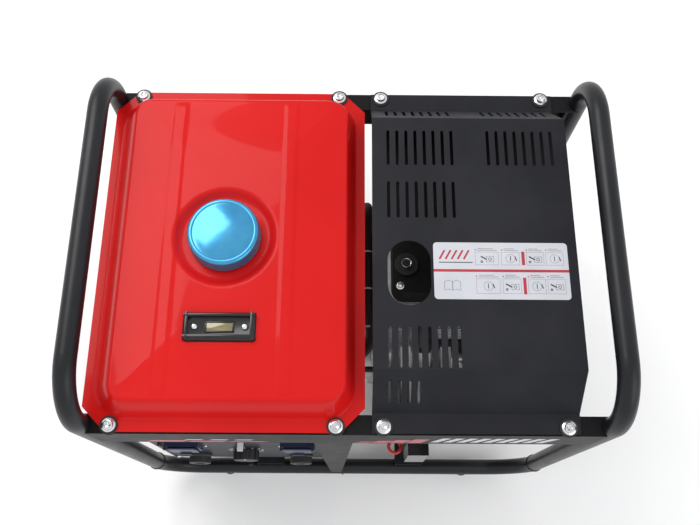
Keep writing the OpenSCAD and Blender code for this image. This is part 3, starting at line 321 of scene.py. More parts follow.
# ---------------------------------------------------------------- making and placing pieces
def clear_selection():
    """The CAD nodes come in selected, and operators act on all that is selected."""
    bpy.ops.object.select_all(action="DESELECT")


def settle(obj, name, body, finish, smooth=35):
    """Puts the piece's place in its mesh, names it, finishes it and lets it ride on its body."""
    clear_selection()
    obj.select_set(True)
    bpy.context.view_layer.objects.active = obj
    bpy.ops.object.transform_apply(location=True, rotation=True, scale=True)
    bpy.ops.object.shade_smooth_by_angle(angle=math.radians(smooth))
    obj.name = name
    if finish:
        paint(obj, finish)
    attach(obj, body)
    return obj


def apply_modifier(obj, kind, **settings):
    """Adds a modifier, sets it and applies it at once."""
    clear_selection()
    obj.select_set(True)
    bpy.context.view_layer.objects.active = obj
    modifier = obj.modifiers.new(kind.lower(), kind)
    for key, value in settings.items():
        setattr(modifier, key, value)
    bpy.ops.object.modifier_apply(modifier=modifier.name)


def join(parts):
    """Joins several objects into the first one."""
    clear_selection()
    for part in parts:
        part.select_set(True)
    bpy.context.view_layer.objects.active = parts[0]
    if len(parts) > 1:
        bpy.ops.object.join()
    return bpy.context.object


def soft_box(low, high, edge=0.0008, segments=2):
    """A box from corner to corner with rounded edges."""
    size = [high[i] - low[i] for i in range(3)]
    middle = [(high[i] + low[i]) / 2 for i in range(3)]
    bpy.ops.mesh.primitive_cube_add(size=1, location=middle)
    box = bpy.context.object
    box.scale = size
    clear_selection()
    box.select_set(True)
    bpy.ops.object.transform_apply(location=True, rotation=True, scale=True)
    apply_modifier(box, "BEVEL", width=min(edge, min(size) / 3), segments=segments, limit_method="ANGLE")
    return box


def turn_to(obj, direction):
    """Turns a piece made along +Z so that it runs along the direction."""
    obj.rotation_euler = Vector(direction).to_track_quat("Z", "Y").to_euler()


def ring_section(inner, outer, low, high):
    """The closed section of a plain ring, for lathe."""
    return [(inner, low), (outer, low), (outer, high), (inner, high), (inner, low)]


def disc_section(r, low, high):
    """The section of a plain disc or bar, for lathe."""
    return [(0, low), (r, low), (r, high), (0, high)]


def lathe(profile, place, direction=(0, 0, 1), steps=48):
    """A turned piece: the profile's (radius, height) points, spun round its axis."""
    mesh = bpy.data.meshes.new("turned")
    points = [(r, 0.0, h) for r, h in profile]
    mesh.from_pydata(points, [(i, i + 1) for i in range(len(points) - 1)], [])
    turned = bpy.data.objects.new("turned", mesh)
    bpy.context.scene.collection.objects.link(turned)
    apply_modifier(turned, "SCREW", angle=math.tau, steps=steps, render_steps=steps,
                   use_merge_vertices=True, merge_threshold=0.00001, use_normal_calculate=True)
    bpy.ops.object.mode_set(mode="EDIT")
    bpy.ops.mesh.select_all(action="SELECT")
    bpy.ops.mesh.remove_doubles(threshold=0.00001)
    bpy.ops.mesh.normals_make_consistent(inside=False)
    bpy.ops.object.mode_set(mode="OBJECT")
    turned.location = place
    turn_to(turned, direction)
    return turned


def softened(node_name, width=0.0008, segments=2, finish=None, angle=32, edit=None):
    """A copy of a CAD node with its sharp edges rounded, shown in place of the node."""
    node = frame["nodes"][node_name]
    copy = node.copy()
    copy.data = node.data.copy()
    copy.parent = None
    copy.matrix_world = Matrix.Identity(4)
    for key in list(copy.keys()):
        del copy[key]
    bpy.context.scene.collection.objects.link(copy)
    clear_selection()
    copy.select_set(True)
    bpy.context.view_layer.objects.active = copy
    bpy.ops.object.mode_set(mode="EDIT")
    bpy.ops.mesh.select_all(action="SELECT")
    bpy.ops.mesh.remove_doubles(threshold=0.00001)
    bpy.ops.mesh.dissolve_limited(angle_limit=math.radians(0.5))
    bpy.ops.object.mode_set(mode="OBJECT")
    if edit:
        edit(copy)
    apply_modifier(copy, "BEVEL", width=width, segments=segments, limit_method="ANGLE",
                   angle_limit=math.radians(angle), use_clamp_overlap=True)
    settle(copy, node_name + "_piece", node_body(node_name), finish or NODE_FINISH[node_name])
    apply_modifier(copy, "WEIGHTED_NORMAL", mode="FACE_AREA", weight=50, keep_sharp=True)
    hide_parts(node_name)
    return copy


def node_body(node_name):
    """The body that a CAD node rides on."""
    for body, nodes in frame["record"]["behaviour"]["bodies"].items():
        if node_name in nodes:
            return body
    return "machine"


def middle_of(node_name):
    """The middle of a node's box."""
    low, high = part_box(node_name)
    return [(low[i] + high[i]) / 2 for i in range(3)]


MACHINE = "machine"


# ---------------------------------------------------------------- fuel tank
def bunched(edges, counts):
    """Places along a line: each stretch between two edges is divided by its own count."""
    places = [edges[0]]
    for start, end, count in zip(edges, edges[1:], counts):
        places += [start + (end - start) * (i + 1) / count for i in range(count)]
    return places


def smooth_step(t):
    t = min(1.0, max(0.0, t))
    return t * t * (3 - 2 * t)


class TankForm:
    """Height of the tank's pressed top over its flange."""

    def __init__(self):
        low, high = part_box("tank_shell")
        self.x0, self.x1 = low[0], high[0]
        self.y0, self.y1 = low[1], high[1]
        self.seam = high[2] - 44.5 * MM
        self.sheet = 1.5 * MM
        self.lip = 13 * MM
        self.corner = 46 * MM
        self.rise = 38 * MM
        self.crown = 4.5 * MM
        cap_low, cap_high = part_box("fuel_cap")
        self.cap = ((cap_low[0] + cap_high[0]) / 2, (cap_low[1] + cap_high[1]) / 2)
        self.dish_r = 72 * MM
        gauge_low, gauge_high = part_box("gauge_housing")
        self.gauge = ((gauge_low[0] + gauge_high[0]) / 2, (gauge_low[1] + gauge_high[1]) / 2)
        self.gauge_half = (46 * MM, 18 * MM)
        self.beads = ((self.x0 + 105 * MM, 9 * MM), (self.x0 + 264 * MM, 8.5 * MM))

    def inside(self, x, y):
        """How far a point is inside the foot of the raised body, and the width of the wall there."""
        half_x = (self.x1 - self.x0) / 2 - self.lip
        half_y = (self.y1 - self.y0) / 2 - self.lip
        mid_x, mid_y = (self.x0 + self.x1) / 2, (self.y0 + self.y1) / 2
        qx = abs(x - mid_x) - (half_x - self.corner)
        qy = abs(y - mid_y) - (half_y - self.corner)
        outside = math.hypot(max(qx, 0), max(qy, 0))
        depth = self.corner - outside - min(max(qx, qy), 0)
        share = 1.0 if qx > qy else 0.0
        if qx > 0 and qy > 0:
            share = qx * qx / (qx * qx + qy * qy)
        side = 14 * MM if x > mid_x else 30 * MM
        end = 24 * MM
        return depth, share * side + (1 - share) * end

    def height(self, x, y):
        depth, wall = self.inside(x, y)
        z = self.rise * smooth_step(depth / wall)
        z += self.crown * smooth_step((depth - wall) / (90 * MM))
        mid_y = (self.y0 + self.y1) / 2
        end_fade = smooth_step(((self.y1 - self.y0) / 2 - abs(y - mid_y) - 38 * MM) / (10 * MM))
        for bead_x, half in self.beads:
            z += 1.3 * MM * end_fade * smooth_step((half - abs(x - bead_x)) / (2.6 * MM) + 0.5)
        ring = math.hypot(x - self.cap[0], y - self.cap[1])
        z -= 7 * MM * smooth_step((self.dish_r - ring) / (13 * MM))
        pocket = min(self.gauge_half[0] - abs(x - self.gauge[0]), self.gauge_half[1] - abs(y - self.gauge[1]))
        z -= 9 * MM * smooth_step(pocket / (2 * MM))
        return z


def make_tank_top():
    """The pressed and enamelled upper half of the tank."""
    form = TankForm()
    xs = bunched([form.x0, form.x0 + 12 * MM, form.x0 + 50 * MM, form.x1 - 110 * MM, form.x1 - 34 * MM,
                  form.x1 - 10 * MM, form.x1], [4, 28, 84, 34, 24, 4])
    ys = bunched([form.y0, form.y0 + 12 * MM, form.y0 + 46 * MM, form.y1 - 46 * MM, form.y1 - 12 * MM,
                  form.y1],
                 [4, 24, 150, 24, 4])
    bpy.ops.mesh.primitive_grid_add(x_subdivisions=len(xs) - 1, y_subdivisions=len(ys) - 1, size=2)
    top = bpy.context.object
    for vertex in top.data.vertices:
        column = round((vertex.co.x + 1) / 2 * (len(xs) - 1))
        row = round((vertex.co.y + 1) / 2 * (len(ys) - 1))
        x, y = xs[column], ys[row]
        vertex.co = (x, y, form.seam + form.sheet + form.height(x, y))
    cut_corners(top, form)
    apply_modifier(top, "SOLIDIFY", thickness=form.sheet, offset=-1.0)
    settle(top, "tank_top_pressing", MACHINE, "tank_paint", smooth=60)
    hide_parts("tank_shell")


def cut_corners(obj, form):
    """Cuts the four corners of the flange at 45 degrees."""
    cut = 32 * MM
    clear_selection()
    obj.select_set(True)
    bpy.context.view_layer.objects.active = obj
    bpy.ops.object.mode_set(mode="EDIT")
    for x, sx in ((form.x0, -1), (form.x1, 1)):
        for y, sy in ((form.y0, -1), (form.y1, 1)):
            bpy.ops.mesh.select_all(action="SELECT")
            bpy.ops.mesh.bisect(plane_co=(x - sx * cut, y, 0), plane_no=(sx, sy, 0), clear_outer=True)
    bpy.ops.object.mode_set(mode="OBJECT")


def make_filler_cap():
    """Pressed cap: rolled skirt, rounded shoulder and a shallow dome."""
    low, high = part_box("fuel_cap")
    r = (high[0] - low[0]) / 2
    h = high[2] - low[2]
    centre = ((low[0] + high[0]) / 2, (low[1] + high[1]) / 2, low[2])
    profile = [(r - 2.2 * MM, 0.6 * MM), (r - 0.8 * MM, 0.0), (r, 0.9 * MM), (r - 0.3 * MM, 2.2 * MM),
               (r - 1.0 * MM, 3.2 * MM), (r - 1.0 * MM, h - 9.5 * MM)]
    shoulder = 5 * MM
    for i in range(7):
        turn = math.pi / 2 * i / 6
        profile.append((r - 1.0 * MM - shoulder * (1 - math.cos(turn)),
                        h - 9.5 * MM + shoulder * math.sin(turn)))
    rim_r = r - 1.0 * MM - shoulder
    profile += [(rim_r - 1.2 * MM, h - 4.6 * MM), (rim_r - 2.4 * MM, h - 5.4 * MM),
                (rim_r - 3.6 * MM, h - 5.2 * MM)]
    dome_r = rim_r - 3.6 * MM
    for i in range(1, 13):
        share = i / 12
        profile.append((dome_r * (1 - share), h - 5.2 * MM + 5.1 * MM * (1 - (1 - share) ** 2)))
    inner = [(0.0, h - 3 * MM), (r - 9 * MM, h - 8 * MM), (r - 3 * MM, h - 12 * MM), (r - 2.4 * MM, 2 * MM),
             (r - 2.2 * MM, 0.6 * MM)]
    cap = lathe(profile + inner, centre, steps=96)
    settle(cap, "filler_cap", "fuel_cap", "cap_film")
    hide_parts("fuel_cap")


def make_gauge():
    """Fuel gauge: black bezel with a sunk face, amber window and two screws."""
    low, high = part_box("gauge_housing")
    x, y = (low[0] + high[0]) / 2, (low[1] + high[1]) / 2
    top = high[2]
    half_x, half_y = 47.5 * MM, 19.5 * MM
    bpy.ops.mesh.primitive_cube_add(size=1, location=(x, y, top - 1 * MM))
    bezel = bpy.context.object
    bezel.scale = (2 * half_x, 2 * half_y, 9 * MM)
    clear_selection()
    bezel.select_set(True)
    bpy.ops.object.transform_apply(location=True, rotation=True, scale=True)
    bpy.ops.object.mode_set(mode="EDIT")
    bpy.ops.mesh.select_all(action="DESELECT")
    bpy.ops.object.mode_set(mode="OBJECT")
    for edge in bezel.data.edges:
        a, b = (bezel.data.vertices[i].co for i in edge.vertices)
        edge.select = abs(a.z - b.z) > 5 * MM
    bpy.ops.object.mode_set(mode="EDIT")
    bpy.ops.mesh.select_mode(type="EDGE")
    bpy.ops.mesh.bevel(offset=6 * MM, segments=6, affect="EDGES")
    bpy.ops.mesh.select_all(action="DESELECT")
    bpy.ops.mesh.select_mode(type="FACE")
    bpy.ops.object.mode_set(mode="OBJECT")
    for face in bezel.data.polygons:
        face.select = face.normal.z > 0.9
    bpy.ops.object.mode_set(mode="EDIT")
    bpy.ops.mesh.inset(thickness=3.2 * MM, depth=0)
    bpy.ops.mesh.inset(thickness=1.2 * MM, depth=-4.5 * MM)
    bpy.ops.object.mode_set(mode="OBJECT")
    apply_modifier(bezel, "BEVEL", width=0.7 * MM, segments=2, limit_method="ANGLE")
    settle(bezel, "gauge_bezel", MACHINE, "gloss_black")
    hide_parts("gauge_housing")
    face_z = top + 3.5 * MM - 4.5 * MM
    window = soft_box((x - 17 * MM, y - 5.5 * MM, face_z - 1 * MM),
                      (x + 17 * MM, y + 5.5 * MM, face_z + 0.7 * MM), 0.0006)
    settle(window, "gauge_window", MACHINE, "amber_window")
    frame_bars = []
    for low_x, high_x in ((-19, -17), (17, 19)):
        frame_bars.append(soft_box((x + low_x * MM, y - 7.5 * MM, face_z - 1 * MM),
                                   (x + high_x * MM, y + 7.5 * MM, face_z + 1.6 * MM), 0.0004))
    for low_y, high_y in ((-7.5, -5.5), (5.5, 7.5)):
        frame_bars.append(soft_box((x - 19 * MM, y + low_y * MM, face_z - 1 * MM),
                                   (x + 19 * MM, y + high_y * MM, face_z + 1.6 * MM), 0.0004))
    settle(join(frame_bars), "gauge_window_frame", MACHINE, "gloss_black")
    for side, label in ((-1, "left"), (1, "right")):
        screw = pan_screw(4.6 * MM, (x + side * 33 * MM, y, face_z), (0, 0, 1))
        settle(screw, "gauge_screw_" + label, MACHINE, "zinc")


def pan_screw(r, place, direction, cross=True):
    """A pan-head screw with a cross recess."""
    profile = [(0.0, -0.3 * MM), (r, -0.3 * MM), (r, 0.25 * r), (0.92 * r, 0.45 * r), (0.7 * r, 0.60 * r),
               (0.35 * r, 0.68 * r), (0.0, 0.70 * r)]
    head = lathe(profile, (0, 0, 0), steps=24)
    if cross:
        for spin in (0, math.pi / 2):
            bpy.ops.mesh.primitive_cube_add(size=1, location=(0, 0, 0.62 * r), rotation=(0, 0, spin + 0.5))
            cutter = bpy.context.object
            cutter.scale = (1.1 * r, 0.22 * r, 0.5 * r)
            apply_modifier(head, "BOOLEAN", operation="DIFFERENCE", object=cutter, solver="EXACT")
            bpy.data.objects.remove(cutter, do_unlink=True)
    head.location = place
    turn_to(head, direction)
    return head


# ---------------------------------------------------------------- fasteners
def flange_bolt_head(place):
    """Pressed flange head with a rounded washer, a six-sided crown and a cross recess."""
    r = 9.5 * MM
    profile = [(0.0, 0.0), (r - 0.4 * MM, 0.0), (r, 0.5 * MM), (r - 0.2 * MM, 1.3 * MM),
               (r - 1.6 * MM, 2.0 * MM),
               (6.9 * MM, 2.4 * MM), (6.5 * MM, 4.9 * MM), (5.9 * MM, 5.6 * MM), (4.6 * MM, 5.8 * MM),
               (4.0 * MM, 5.0 * MM), (1.2 * MM, 4.2 * MM), (0.0, 4.1 * MM)]
    head = lathe(profile, (0, 0, 0), steps=36)
    for spin in (0.4, 0.4 + math.pi / 2):
        bpy.ops.mesh.primitive_cube_add(size=1, location=(0, 0, 5.0 * MM), rotation=(0, 0, spin))
        cutter = bpy.context.object
        cutter.scale = (8.6 * MM, 1.7 * MM, 3.6 * MM)
        apply_modifier(head, "BOOLEAN", operation="DIFFERENCE", object=cutter, solver="EXACT")
        bpy.data.objects.remove(cutter, do_unlink=True)
    head.location = place
    return head


def island_middles(node_name):
    """The middle and top of each separate solid in a node."""
    mesh = frame["nodes"][node_name].data
    parent = list(range(len(mesh.vertices)))
    seen = {}

    def root(i):
        while parent[i] != i:
            parent[i] = parent[parent[i]]
            i = parent[i]
        return i

    for vertex in mesh.vertices:
        key = tuple(round(c, 5) for c in vertex.co)
        if key in seen:
            parent[root(vertex.index)] = root(seen[key])
        seen[key] = vertex.index
    for edge in mesh.edges:
        parent[root(edge.vertices[0])] = root(edge.vertices[1])
    groups = {}
    for vertex in mesh.vertices:
        groups.setdefault(root(vertex.index), []).append(vertex.co)
    places = []
    for points in groups.values():
        low = [min(p[i] for p in points) for i in range(3)]
        high = [max(p[i] for p in points) for i in range(3)]
        places.append(((low[0] + high[0]) / 2, (low[1] + high[1]) / 2, high[2], low[2]))
    return sorted(places)


def make_flange_bolts():
    """Eight bolts, each with its head and shank."""
    parts = []
    for x, y, top, low in island_middles("flange_bolts"):
        parts.append(flange_bolt_head((x, y, top - 5 * MM)))
        parts.append(lathe([(0, low), (2.6 * MM, low), (3 * MM, low + 0.5 * MM), (3 * MM, top - 5 * MM),
                            (0, top - 5 * MM)], (x, y, 0), steps=20))
    bolts = settle(join(parts), "flange_bolts_piece", MACHINE, "zinc")
    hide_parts("flange_bolts")


# ---------------------------------------------------------------- label and stripes
def flat_bar(x0, y0, x1, y1, z, thick=0.00012):
    """One printed bar, a hair thick."""
    bpy.ops.mesh.primitive_cube_add(size=1, location=((x0 + x1) / 2, (y0 + y1) / 2, z + thick / 2))
    bar = bpy.context.object
    bar.scale = (x1 - x0, y1 - y0, thick)
    return bar


def flat_line(a, b, width, z, thick=0.00012):
    """A printed line between two points."""
    length = math.hypot(b[0] - a[0], b[1] - a[1])
    bpy.ops.mesh.primitive_cube_add(size=1, location=((a[0] + b[0]) / 2, (a[1] + b[1]) / 2, z + thick / 2),
                                    rotation=(0, 0, math.atan2(b[1] - a[1], b[0] - a[0])))
    line = bpy.context.object
    line.scale = (length, width, thick)
    return line


def flat_ring(x, y, r, width, z, thick=0.00012):
    """A printed ring."""
    return lathe(ring_section(r - width, r, 0, thick), (x, y, z),
                 steps=28)


def flat_box_outline(x0, y0, x1, y1, width, z):
    """The outline of a printed box."""
    return [flat_bar(x0, y0, x1, y0 + width, z), flat_bar(x0, y1 - width, x1, y1, z),
            flat_bar(x0, y0, x0 + width, y1, z), flat_bar(x1 - width, y0, x1, y1, z)]


def make_label():
    """Printed film with two rows of plain operating signs and a red band between them."""
    low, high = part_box("instruction_label")
    softened("instruction_label", 0.00012, 1, "label_film")
    x0, x1, y0, y1, z = low[0], high[0], low[1], high[1], high[2]
    width, depth = x1 - x0, y1 - y0
    mid_y = (y0 + y1) / 2

    def across(u):
        return x0 + u * width

    def up(v):
        return y0 + v * depth

    red, grey, dark = [], [], []
    red.append(flat_bar(x0, mid_y - 1.9 * MM, x1, mid_y + 1.7 * MM, z))
    for v0, v1 in ((0.60, 0.84), (0.09, 0.38)):
        red.append(flat_bar(across(0.655), up(v0), across(0.678), up(v1), z))
    for i in range(5):
        red.append(flat_line((across(0.045 + 0.045 * i), up(0.70)), (across(0.085 + 0.045 * i), up(0.86)),
                             2.4 * MM, z))
    dark.append(flat_bar(across(0.04), up(0.635), across(0.29), up(0.65), z))
    columns = ((0.31, 0.485), (0.505, 0.64), (0.69, 0.82), (0.835, 0.965))
    for row, (v0, v1) in enumerate(((0.60, 0.83), (0.10, 0.36))):
        for column, (u0, u1) in enumerate(columns):
            grey += flat_box_outline(across(u0), up(v0), across(u1), up(v1), 0.35 * MM, z)
            for line in range(2):
                grey.append(flat_bar(across(u0 + 0.02), up(v1 + 0.025 + 0.03 * line),
                                     across(u1 - 0.01 - 0.03 * line),
                                     up(v1 + 0.035 + 0.03 * line), z))
            red.append(flat_bar(across(u0), up(v1 + 0.03), across(u0 + 0.009), up(v1 + 0.05), z))
            mid_u, mid_v = (u0 + u1) / 2, (v0 + v1) / 2
            if (row + column) % 2:
                grey.append(flat_ring(across(mid_u), up(mid_v), 6.2 * MM, 0.5 * MM, z))
                dark.append(flat_bar(across(mid_u) - 0.5 * MM, up(mid_v) - 3.4 * MM, across(mid_u) + 0.5 * MM,
                                     up(mid_v) + 3.4 * MM, z))
                dark.append(flat_line((across(mid_u) + 6 * MM, up(mid_v) + 3 * MM),
                                      (across(mid_u) + 8 * MM, up(mid_v) - 3 * MM), 1.3 * MM, z))
            else:
                grey += flat_box_outline(across(mid_u) - 1 * MM, up(mid_v) - 5 * MM, across(mid_u) + 9 * MM,
                                         up(mid_v) + 3 * MM, 0.6 * MM, z)
                dark.append(flat_line((across(mid_u) - 8 * MM, up(mid_v) + 3 * MM),
                                      (across(mid_u), up(mid_v) - 1.5 * MM),
                                      1.8 * MM, z))
                dark.append(flat_ring(across(mid_u) + 4 * MM, up(mid_v) - 1 * MM, 2.2 * MM, 0.7 * MM, z))
                dark.append(flat_ring(across(mid_u) - 7 * MM, up(mid_v) - 4.5 * MM, 1.7 * MM, 1.0 * MM, z))
    book_x, book_y = across(0.135), up(0.23)
    for side in (-1, 1):
        edges = [((0, -6), (0, 6)), ((0, 6), (5, 7.5)), ((5, 7.5), (10.5, 6)), ((10.5, 6), (10.5, -6)),
                 ((10.5, -6), (5, -4.6)), ((5, -4.6), (0, -6))]
        for a, b in edges:
            grey.append(flat_line((book_x + side * a[0] * MM, book_y + a[1] * MM),
                                  (book_x + side * b[0] * MM, book_y + b[1] * MM), 0.5 * MM, z))
    settle(join(red), "label_red_print", MACHINE, "label_red")
    settle(join(grey), "label_grey_print", MACHINE, "label_grey")
    settle(join(dark), "label_dark_print", MACHINE, "label_dark")


def make_rail_stripes():
    """Plain slanted stripes and a red wedge on the face of the front rail."""
    low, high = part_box("front_top_rail")
    face_y = low[1]
    thick = 0.25 * MM
    z0, z1 = low[2] + 8 * MM, high[2] - 26 * MM
    pale, red = [], []

    def slanted(x, width, lean, z_low, z_high):
        bpy.ops.mesh.primitive_cube_add(size=1, location=(x, face_y - thick / 2, (z_low + z_high) / 2))
        bar = bpy.context.object
        bar.scale = (width, thick, z_high - z_low)
        clear_selection()
        bar.select_set(True)
        bpy.ops.object.transform_apply(location=True, rotation=True, scale=True)
        for vertex in bar.data.vertices:
            vertex.co.x += lean * (vertex.co.z - z_low) / (z_high - z_low)
        return bar

    for i in range(9):
        pale.append(slanted(120 * MM + i * 18 * MM, 11 * MM, 14 * MM, z0 + 8 * MM, z1))
    for i in range(4):
        red.append(slanted(20 * MM + i * 24 * MM, 20 * MM, 10 * MM, z0, z0 + (12 + 9 * i) * MM))
    for i in range(3):
        red.append(slanted(-250 * MM + i * 55 * MM, 50 * MM, 10 * MM, z0, z0 + (14 - 3 * i) * MM))
        pale.append(slanted(-210 * MM + i * 34 * MM, 22 * MM, 6 * MM, z0 + 18 * MM, z0 + 24 * MM))
    settle(join(pale), "rail_pale_stripes", MACHINE, "label_film")
    settle(join(red), "rail_red_stripes", MACHINE, "label_red")


# ---------------------------------------------------------------- frame details
def weld_ring(place, direction, r, bead=2.2 * MM, steps=44):
    """A weld bead round a tube, with its ripples."""
    profile = [(r - 0.6 * MM, -bead), (r + 0.5 * bead, -0.6 * bead), (r + 0.75 * bead, 0),
               (r + 0.5 * bead, 0.6 * bead), (r - 0.6 * MM, bead), (r - 0.6 * MM, -bead)]
    ring = lathe(profile, (0, 0, 0), steps=steps)
    for vertex in ring.data.vertices:
        around = math.atan2(vertex.co.y, vertex.co.x)
        ripple = 1 + 0.018 * math.sin(22 * around + 2.0 * math.sin(3 * around))
        if math.hypot(vertex.co.x, vertex.co.y) > r:
            vertex.co.x *= ripple
            vertex.co.y *= ripple
    ring.location = place
    turn_to(ring, direction)
    return ring


def make_frame_welds():
    """Beads where the legs meet the base tubes, and where the base tubes are closed."""
    low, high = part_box("left_hoop")
    tube_r = (high[0] - low[0]) / 2
    leg_y = high[1] - tube_r
    leg_x = (high[0] + low[0]) / 2
    base_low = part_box("front_base_tube")[0]
    base_z = base_low[2] + tube_r
    beads = []
    for x in (-abs(leg_x), abs(leg_x)):
        for y in (-leg_y, leg_y):
            beads.append(weld_ring((x, y, low[2]), (0, 0, 1), tube_r))
    for y in (-leg_y, leg_y):
        beads.append(weld_ring((-6 * MM, y, base_z), (1, 0, 0), tube_r))
    settle(join(beads), "frame_weld_beads", MACHINE, "frame_paint", smooth=60)


def hex_bolts(name, places, direction, r, finish="zinc", body=MACHINE):
    """Several small hexagon screws that point the same way, each with a washer."""
    parts = []
    for place in places:
        head = lathe([(0, 0), (1.25 * r, 0), (1.35 * r, 0.12 * r), (1.35 * r, 0.25 * r), (0.9 * r, 0.3 * r),
                      (0, 0.3 * r)],
                     place, direction, steps=24)
        parts.append(head)
        bpy.ops.mesh.primitive_cylinder_add(vertices=6, radius=r, depth=0.75 * r, location=(0, 0, 0.6 * r))
        six = bpy.context.object
        clear_selection()
        six.select_set(True)
        bpy.ops.object.transform_apply(location=True, rotation=True, scale=True)
        apply_modifier(six, "BEVEL", width=0.10 * r, segments=2, limit_method="ANGLE")
        six.location = place
        turn_to(six, direction)
        parts.append(six)
    return settle(join(parts), name, body, finish)


def touch(node_name, start, direction):
    """Where a line from the start first meets a CAD node."""
    node = frame["nodes"][node_name]
    hit, place = node.ray_cast(Vector(start), Vector(direction).normalized())[:2]
    return tuple(place) if hit else tuple(start)


def round_pattern(count, r, centre, axis, first=0.0):
    """Places round a centre, in the plane across the axis: "x" or "y"."""
    places = []
    for i in range(count):
        turn = first + math.tau * i / count
        across, up = r * math.cos(turn), r * math.sin(turn)
        if axis == "x":
            places.append((centre[0], centre[1] + across, centre[2] + up))
        else:
            places.append((centre[0] + across, centre[1], centre[2] + up))
    return places


# ---------------------------------------------------------------- engine details
def bolts_on(node_name, name, starts, direction, r, finish="zinc"):
    """Hexagon screws where lines from the starts meet the node, heads towards the starts."""
    inward = [-c for c in direction]
    places = [touch(node_name, start, inward) for start in starts]
    return hex_bolts(name, places, direction, r, finish)


def make_engine_bolts():
    """Screws of the recoil cover, side cover, head, rocker cover, pump and alternator."""
    shaft = middle_of("flywheel")
    out = 0.5
    bolts_on("recoil_cover", "recoil_cover_bolts",
             round_pattern(8, 124 * MM, (out, shaft[1], shaft[2]), "x", 0.4),
             (1, 0, 0), 4.6 * MM)
    bolts_on("fan_housing", "shroud_bolts", [(out, y, 425 * MM) for y in (-50 * MM, 50 * MM)], (1, 0, 0),
             4.2 * MM)
    ring = round_pattern(6, 32 * MM, (149 * MM, -out, shaft[2] + 4 * MM), "y", 0.4)
    clear_of_lever = [place for place in ring if place[0] < 176 * MM]
    bolts_on("crankcase", "side_cover_bolts", clear_of_lever, (0, -1, 0), 4.2 * MM)
    low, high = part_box("crankcase")
    corners = [(x, -out, z) for x in (low[0] + 12 * MM, high[0] - 12 * MM) for z in (high[2] - 22 * MM,
                                                                                     low[2] + 34 * MM)]
    bolts_on("crankcase", "crankcase_bolts", corners, (0, -1, 0), 4.2 * MM)
    back_corners = [(x, out, z) for x, y, z in corners]
    bolts_on("crankcase", "crankcase_back_bolts", back_corners, (0, 1, 0), 4.2 * MM)
    x, y, z = middle_of("rocker_cover")
    bolts_on("rocker_cover", "rocker_cover_bolts", [(x + sx * 40 * MM, y + sy * 40 * MM, out + z)
                                                    for sx in (-1, 1) for sy in (-1, 1)], (0, 0, 1), 4.4 * MM)
    bolts_on("cylinder_head", "head_nuts", [(x + sx * 60 * MM, y + sy * 58 * MM, out + z)
                                            for sx in (-1, 1) for sy in (-1, 1)], (0, 0, 1), 5.6 * MM)
    low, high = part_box("injection_pump")
    mid_x = (low[0] + high[0]) / 2 + 4 * MM
    bolts_on("injection_pump", "pump_bolts", [(mid_x + s * 18 * MM, -out, low[2] + 10 * MM) for s in (-1, 1)],
             (0, -1, 0), 3.6 * MM)
    stator = middle_of("stator_housing")
    low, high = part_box("end_bracket")
    shaft_z = (low[2] + high[2]) / 2
    bolts_on("end_bracket", "tie_bolts", round_pattern(4, 101 * MM, (-out, stator[1], shaft_z), "x",
                                                       math.pi / 4),
             (-1, 0, 0), 4.6 * MM)
    bolts_on("end_bracket", "bearing_cap_bolts",
             round_pattern(3, 24 * MM, (-out, stator[1], shaft_z), "x", 0.6),
             (-1, 0, 0), 3.2 * MM)


def band(name, place, direction, r, width, finish, body=MACHINE, thick=1.2 * MM):
    """A strap round a drum."""
    profile = [(r - 0.4 * MM, -width / 2), (r + thick, -width / 2), (r + thick * 1.1, 0),
               (r + thick, width / 2),
               (r - 0.4 * MM, width / 2), (r - 0.4 * MM, -width / 2)]
    return settle(lathe(profile, place, direction, steps=64), name, body, finish)


def make_muffler_trim():
    """Two straps and a rolled seam at the muffler's end."""
    low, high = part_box("muffler")
    r = (high[2] - low[2]) / 2
    y, z = high[1] - r, (low[2] + high[2]) / 2
    probe = touch("muffler", (1.0, y, z + r * 0.6), (-1, 0, 0))
    end_x = probe[0]
    for label, x in (("inner", end_x - 170 * MM), ("outer", end_x - 60 * MM)):
        band("muffler_strap_" + label, (x, y, z), (1, 0, 0), r, 12 * MM, "dull_steel")
    band("muffler_seam", (end_x - 3 * MM, y, z), (1, 0, 0), r - 0.8 * MM, 6 * MM, "exhaust_steel")


def make_cleaner_trim():
    """Two sprung clips over the bowl's rim and a wing nut on its end."""
    low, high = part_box("air_cleaner")
    r = (high[2] - low[2]) / 2
    y, z = low[1] + r, (low[2] + high[2]) / 2
    x0 = touch("air_cleaner", (0.0, y - r + 2 * MM, z), (1, 0, 0))[0]
    clips = []
    for side in (-1, 1):
        clips.append(soft_box((x0 - 8 * MM, y - 6 * MM, z + side * (r - 3 * MM) - 1 * MM),
                              (x0 + 18 * MM, y + 6 * MM, z + side * (r - 3 * MM) + 1 * MM), 0.0006))
        clips.append(lathe(disc_section(1.6 * MM, -7 * MM, 7 * MM),
                           (x0 + 18 * MM, y, z + side * (r - 4 * MM)), (0, 1, 0), steps=16))
    settle(join(clips), "cleaner_clips", MACHINE, "bright_steel")
    end = high[0]
    nut = [lathe([(0, -2 * MM), (12 * MM, -2 * MM), (12 * MM, -0.5 * MM), (6 * MM, 0), (5.5 * MM, 6 * MM),
                  (0, 6.5 * MM)],
                 (end, y, z), (1, 0, 0), steps=28)]
    for side in (-1, 1):
        nut.append(soft_box((end + 1 * MM, y + side * 9 * MM - 5 * MM, z - 1.6 * MM),
                            (end + 10 * MM, y + side * 9 * MM + 5 * MM, z + 1.6 * MM), 0.0012))
    settle(join(nut), "cleaner_wing_nut", MACHINE, "zinc")


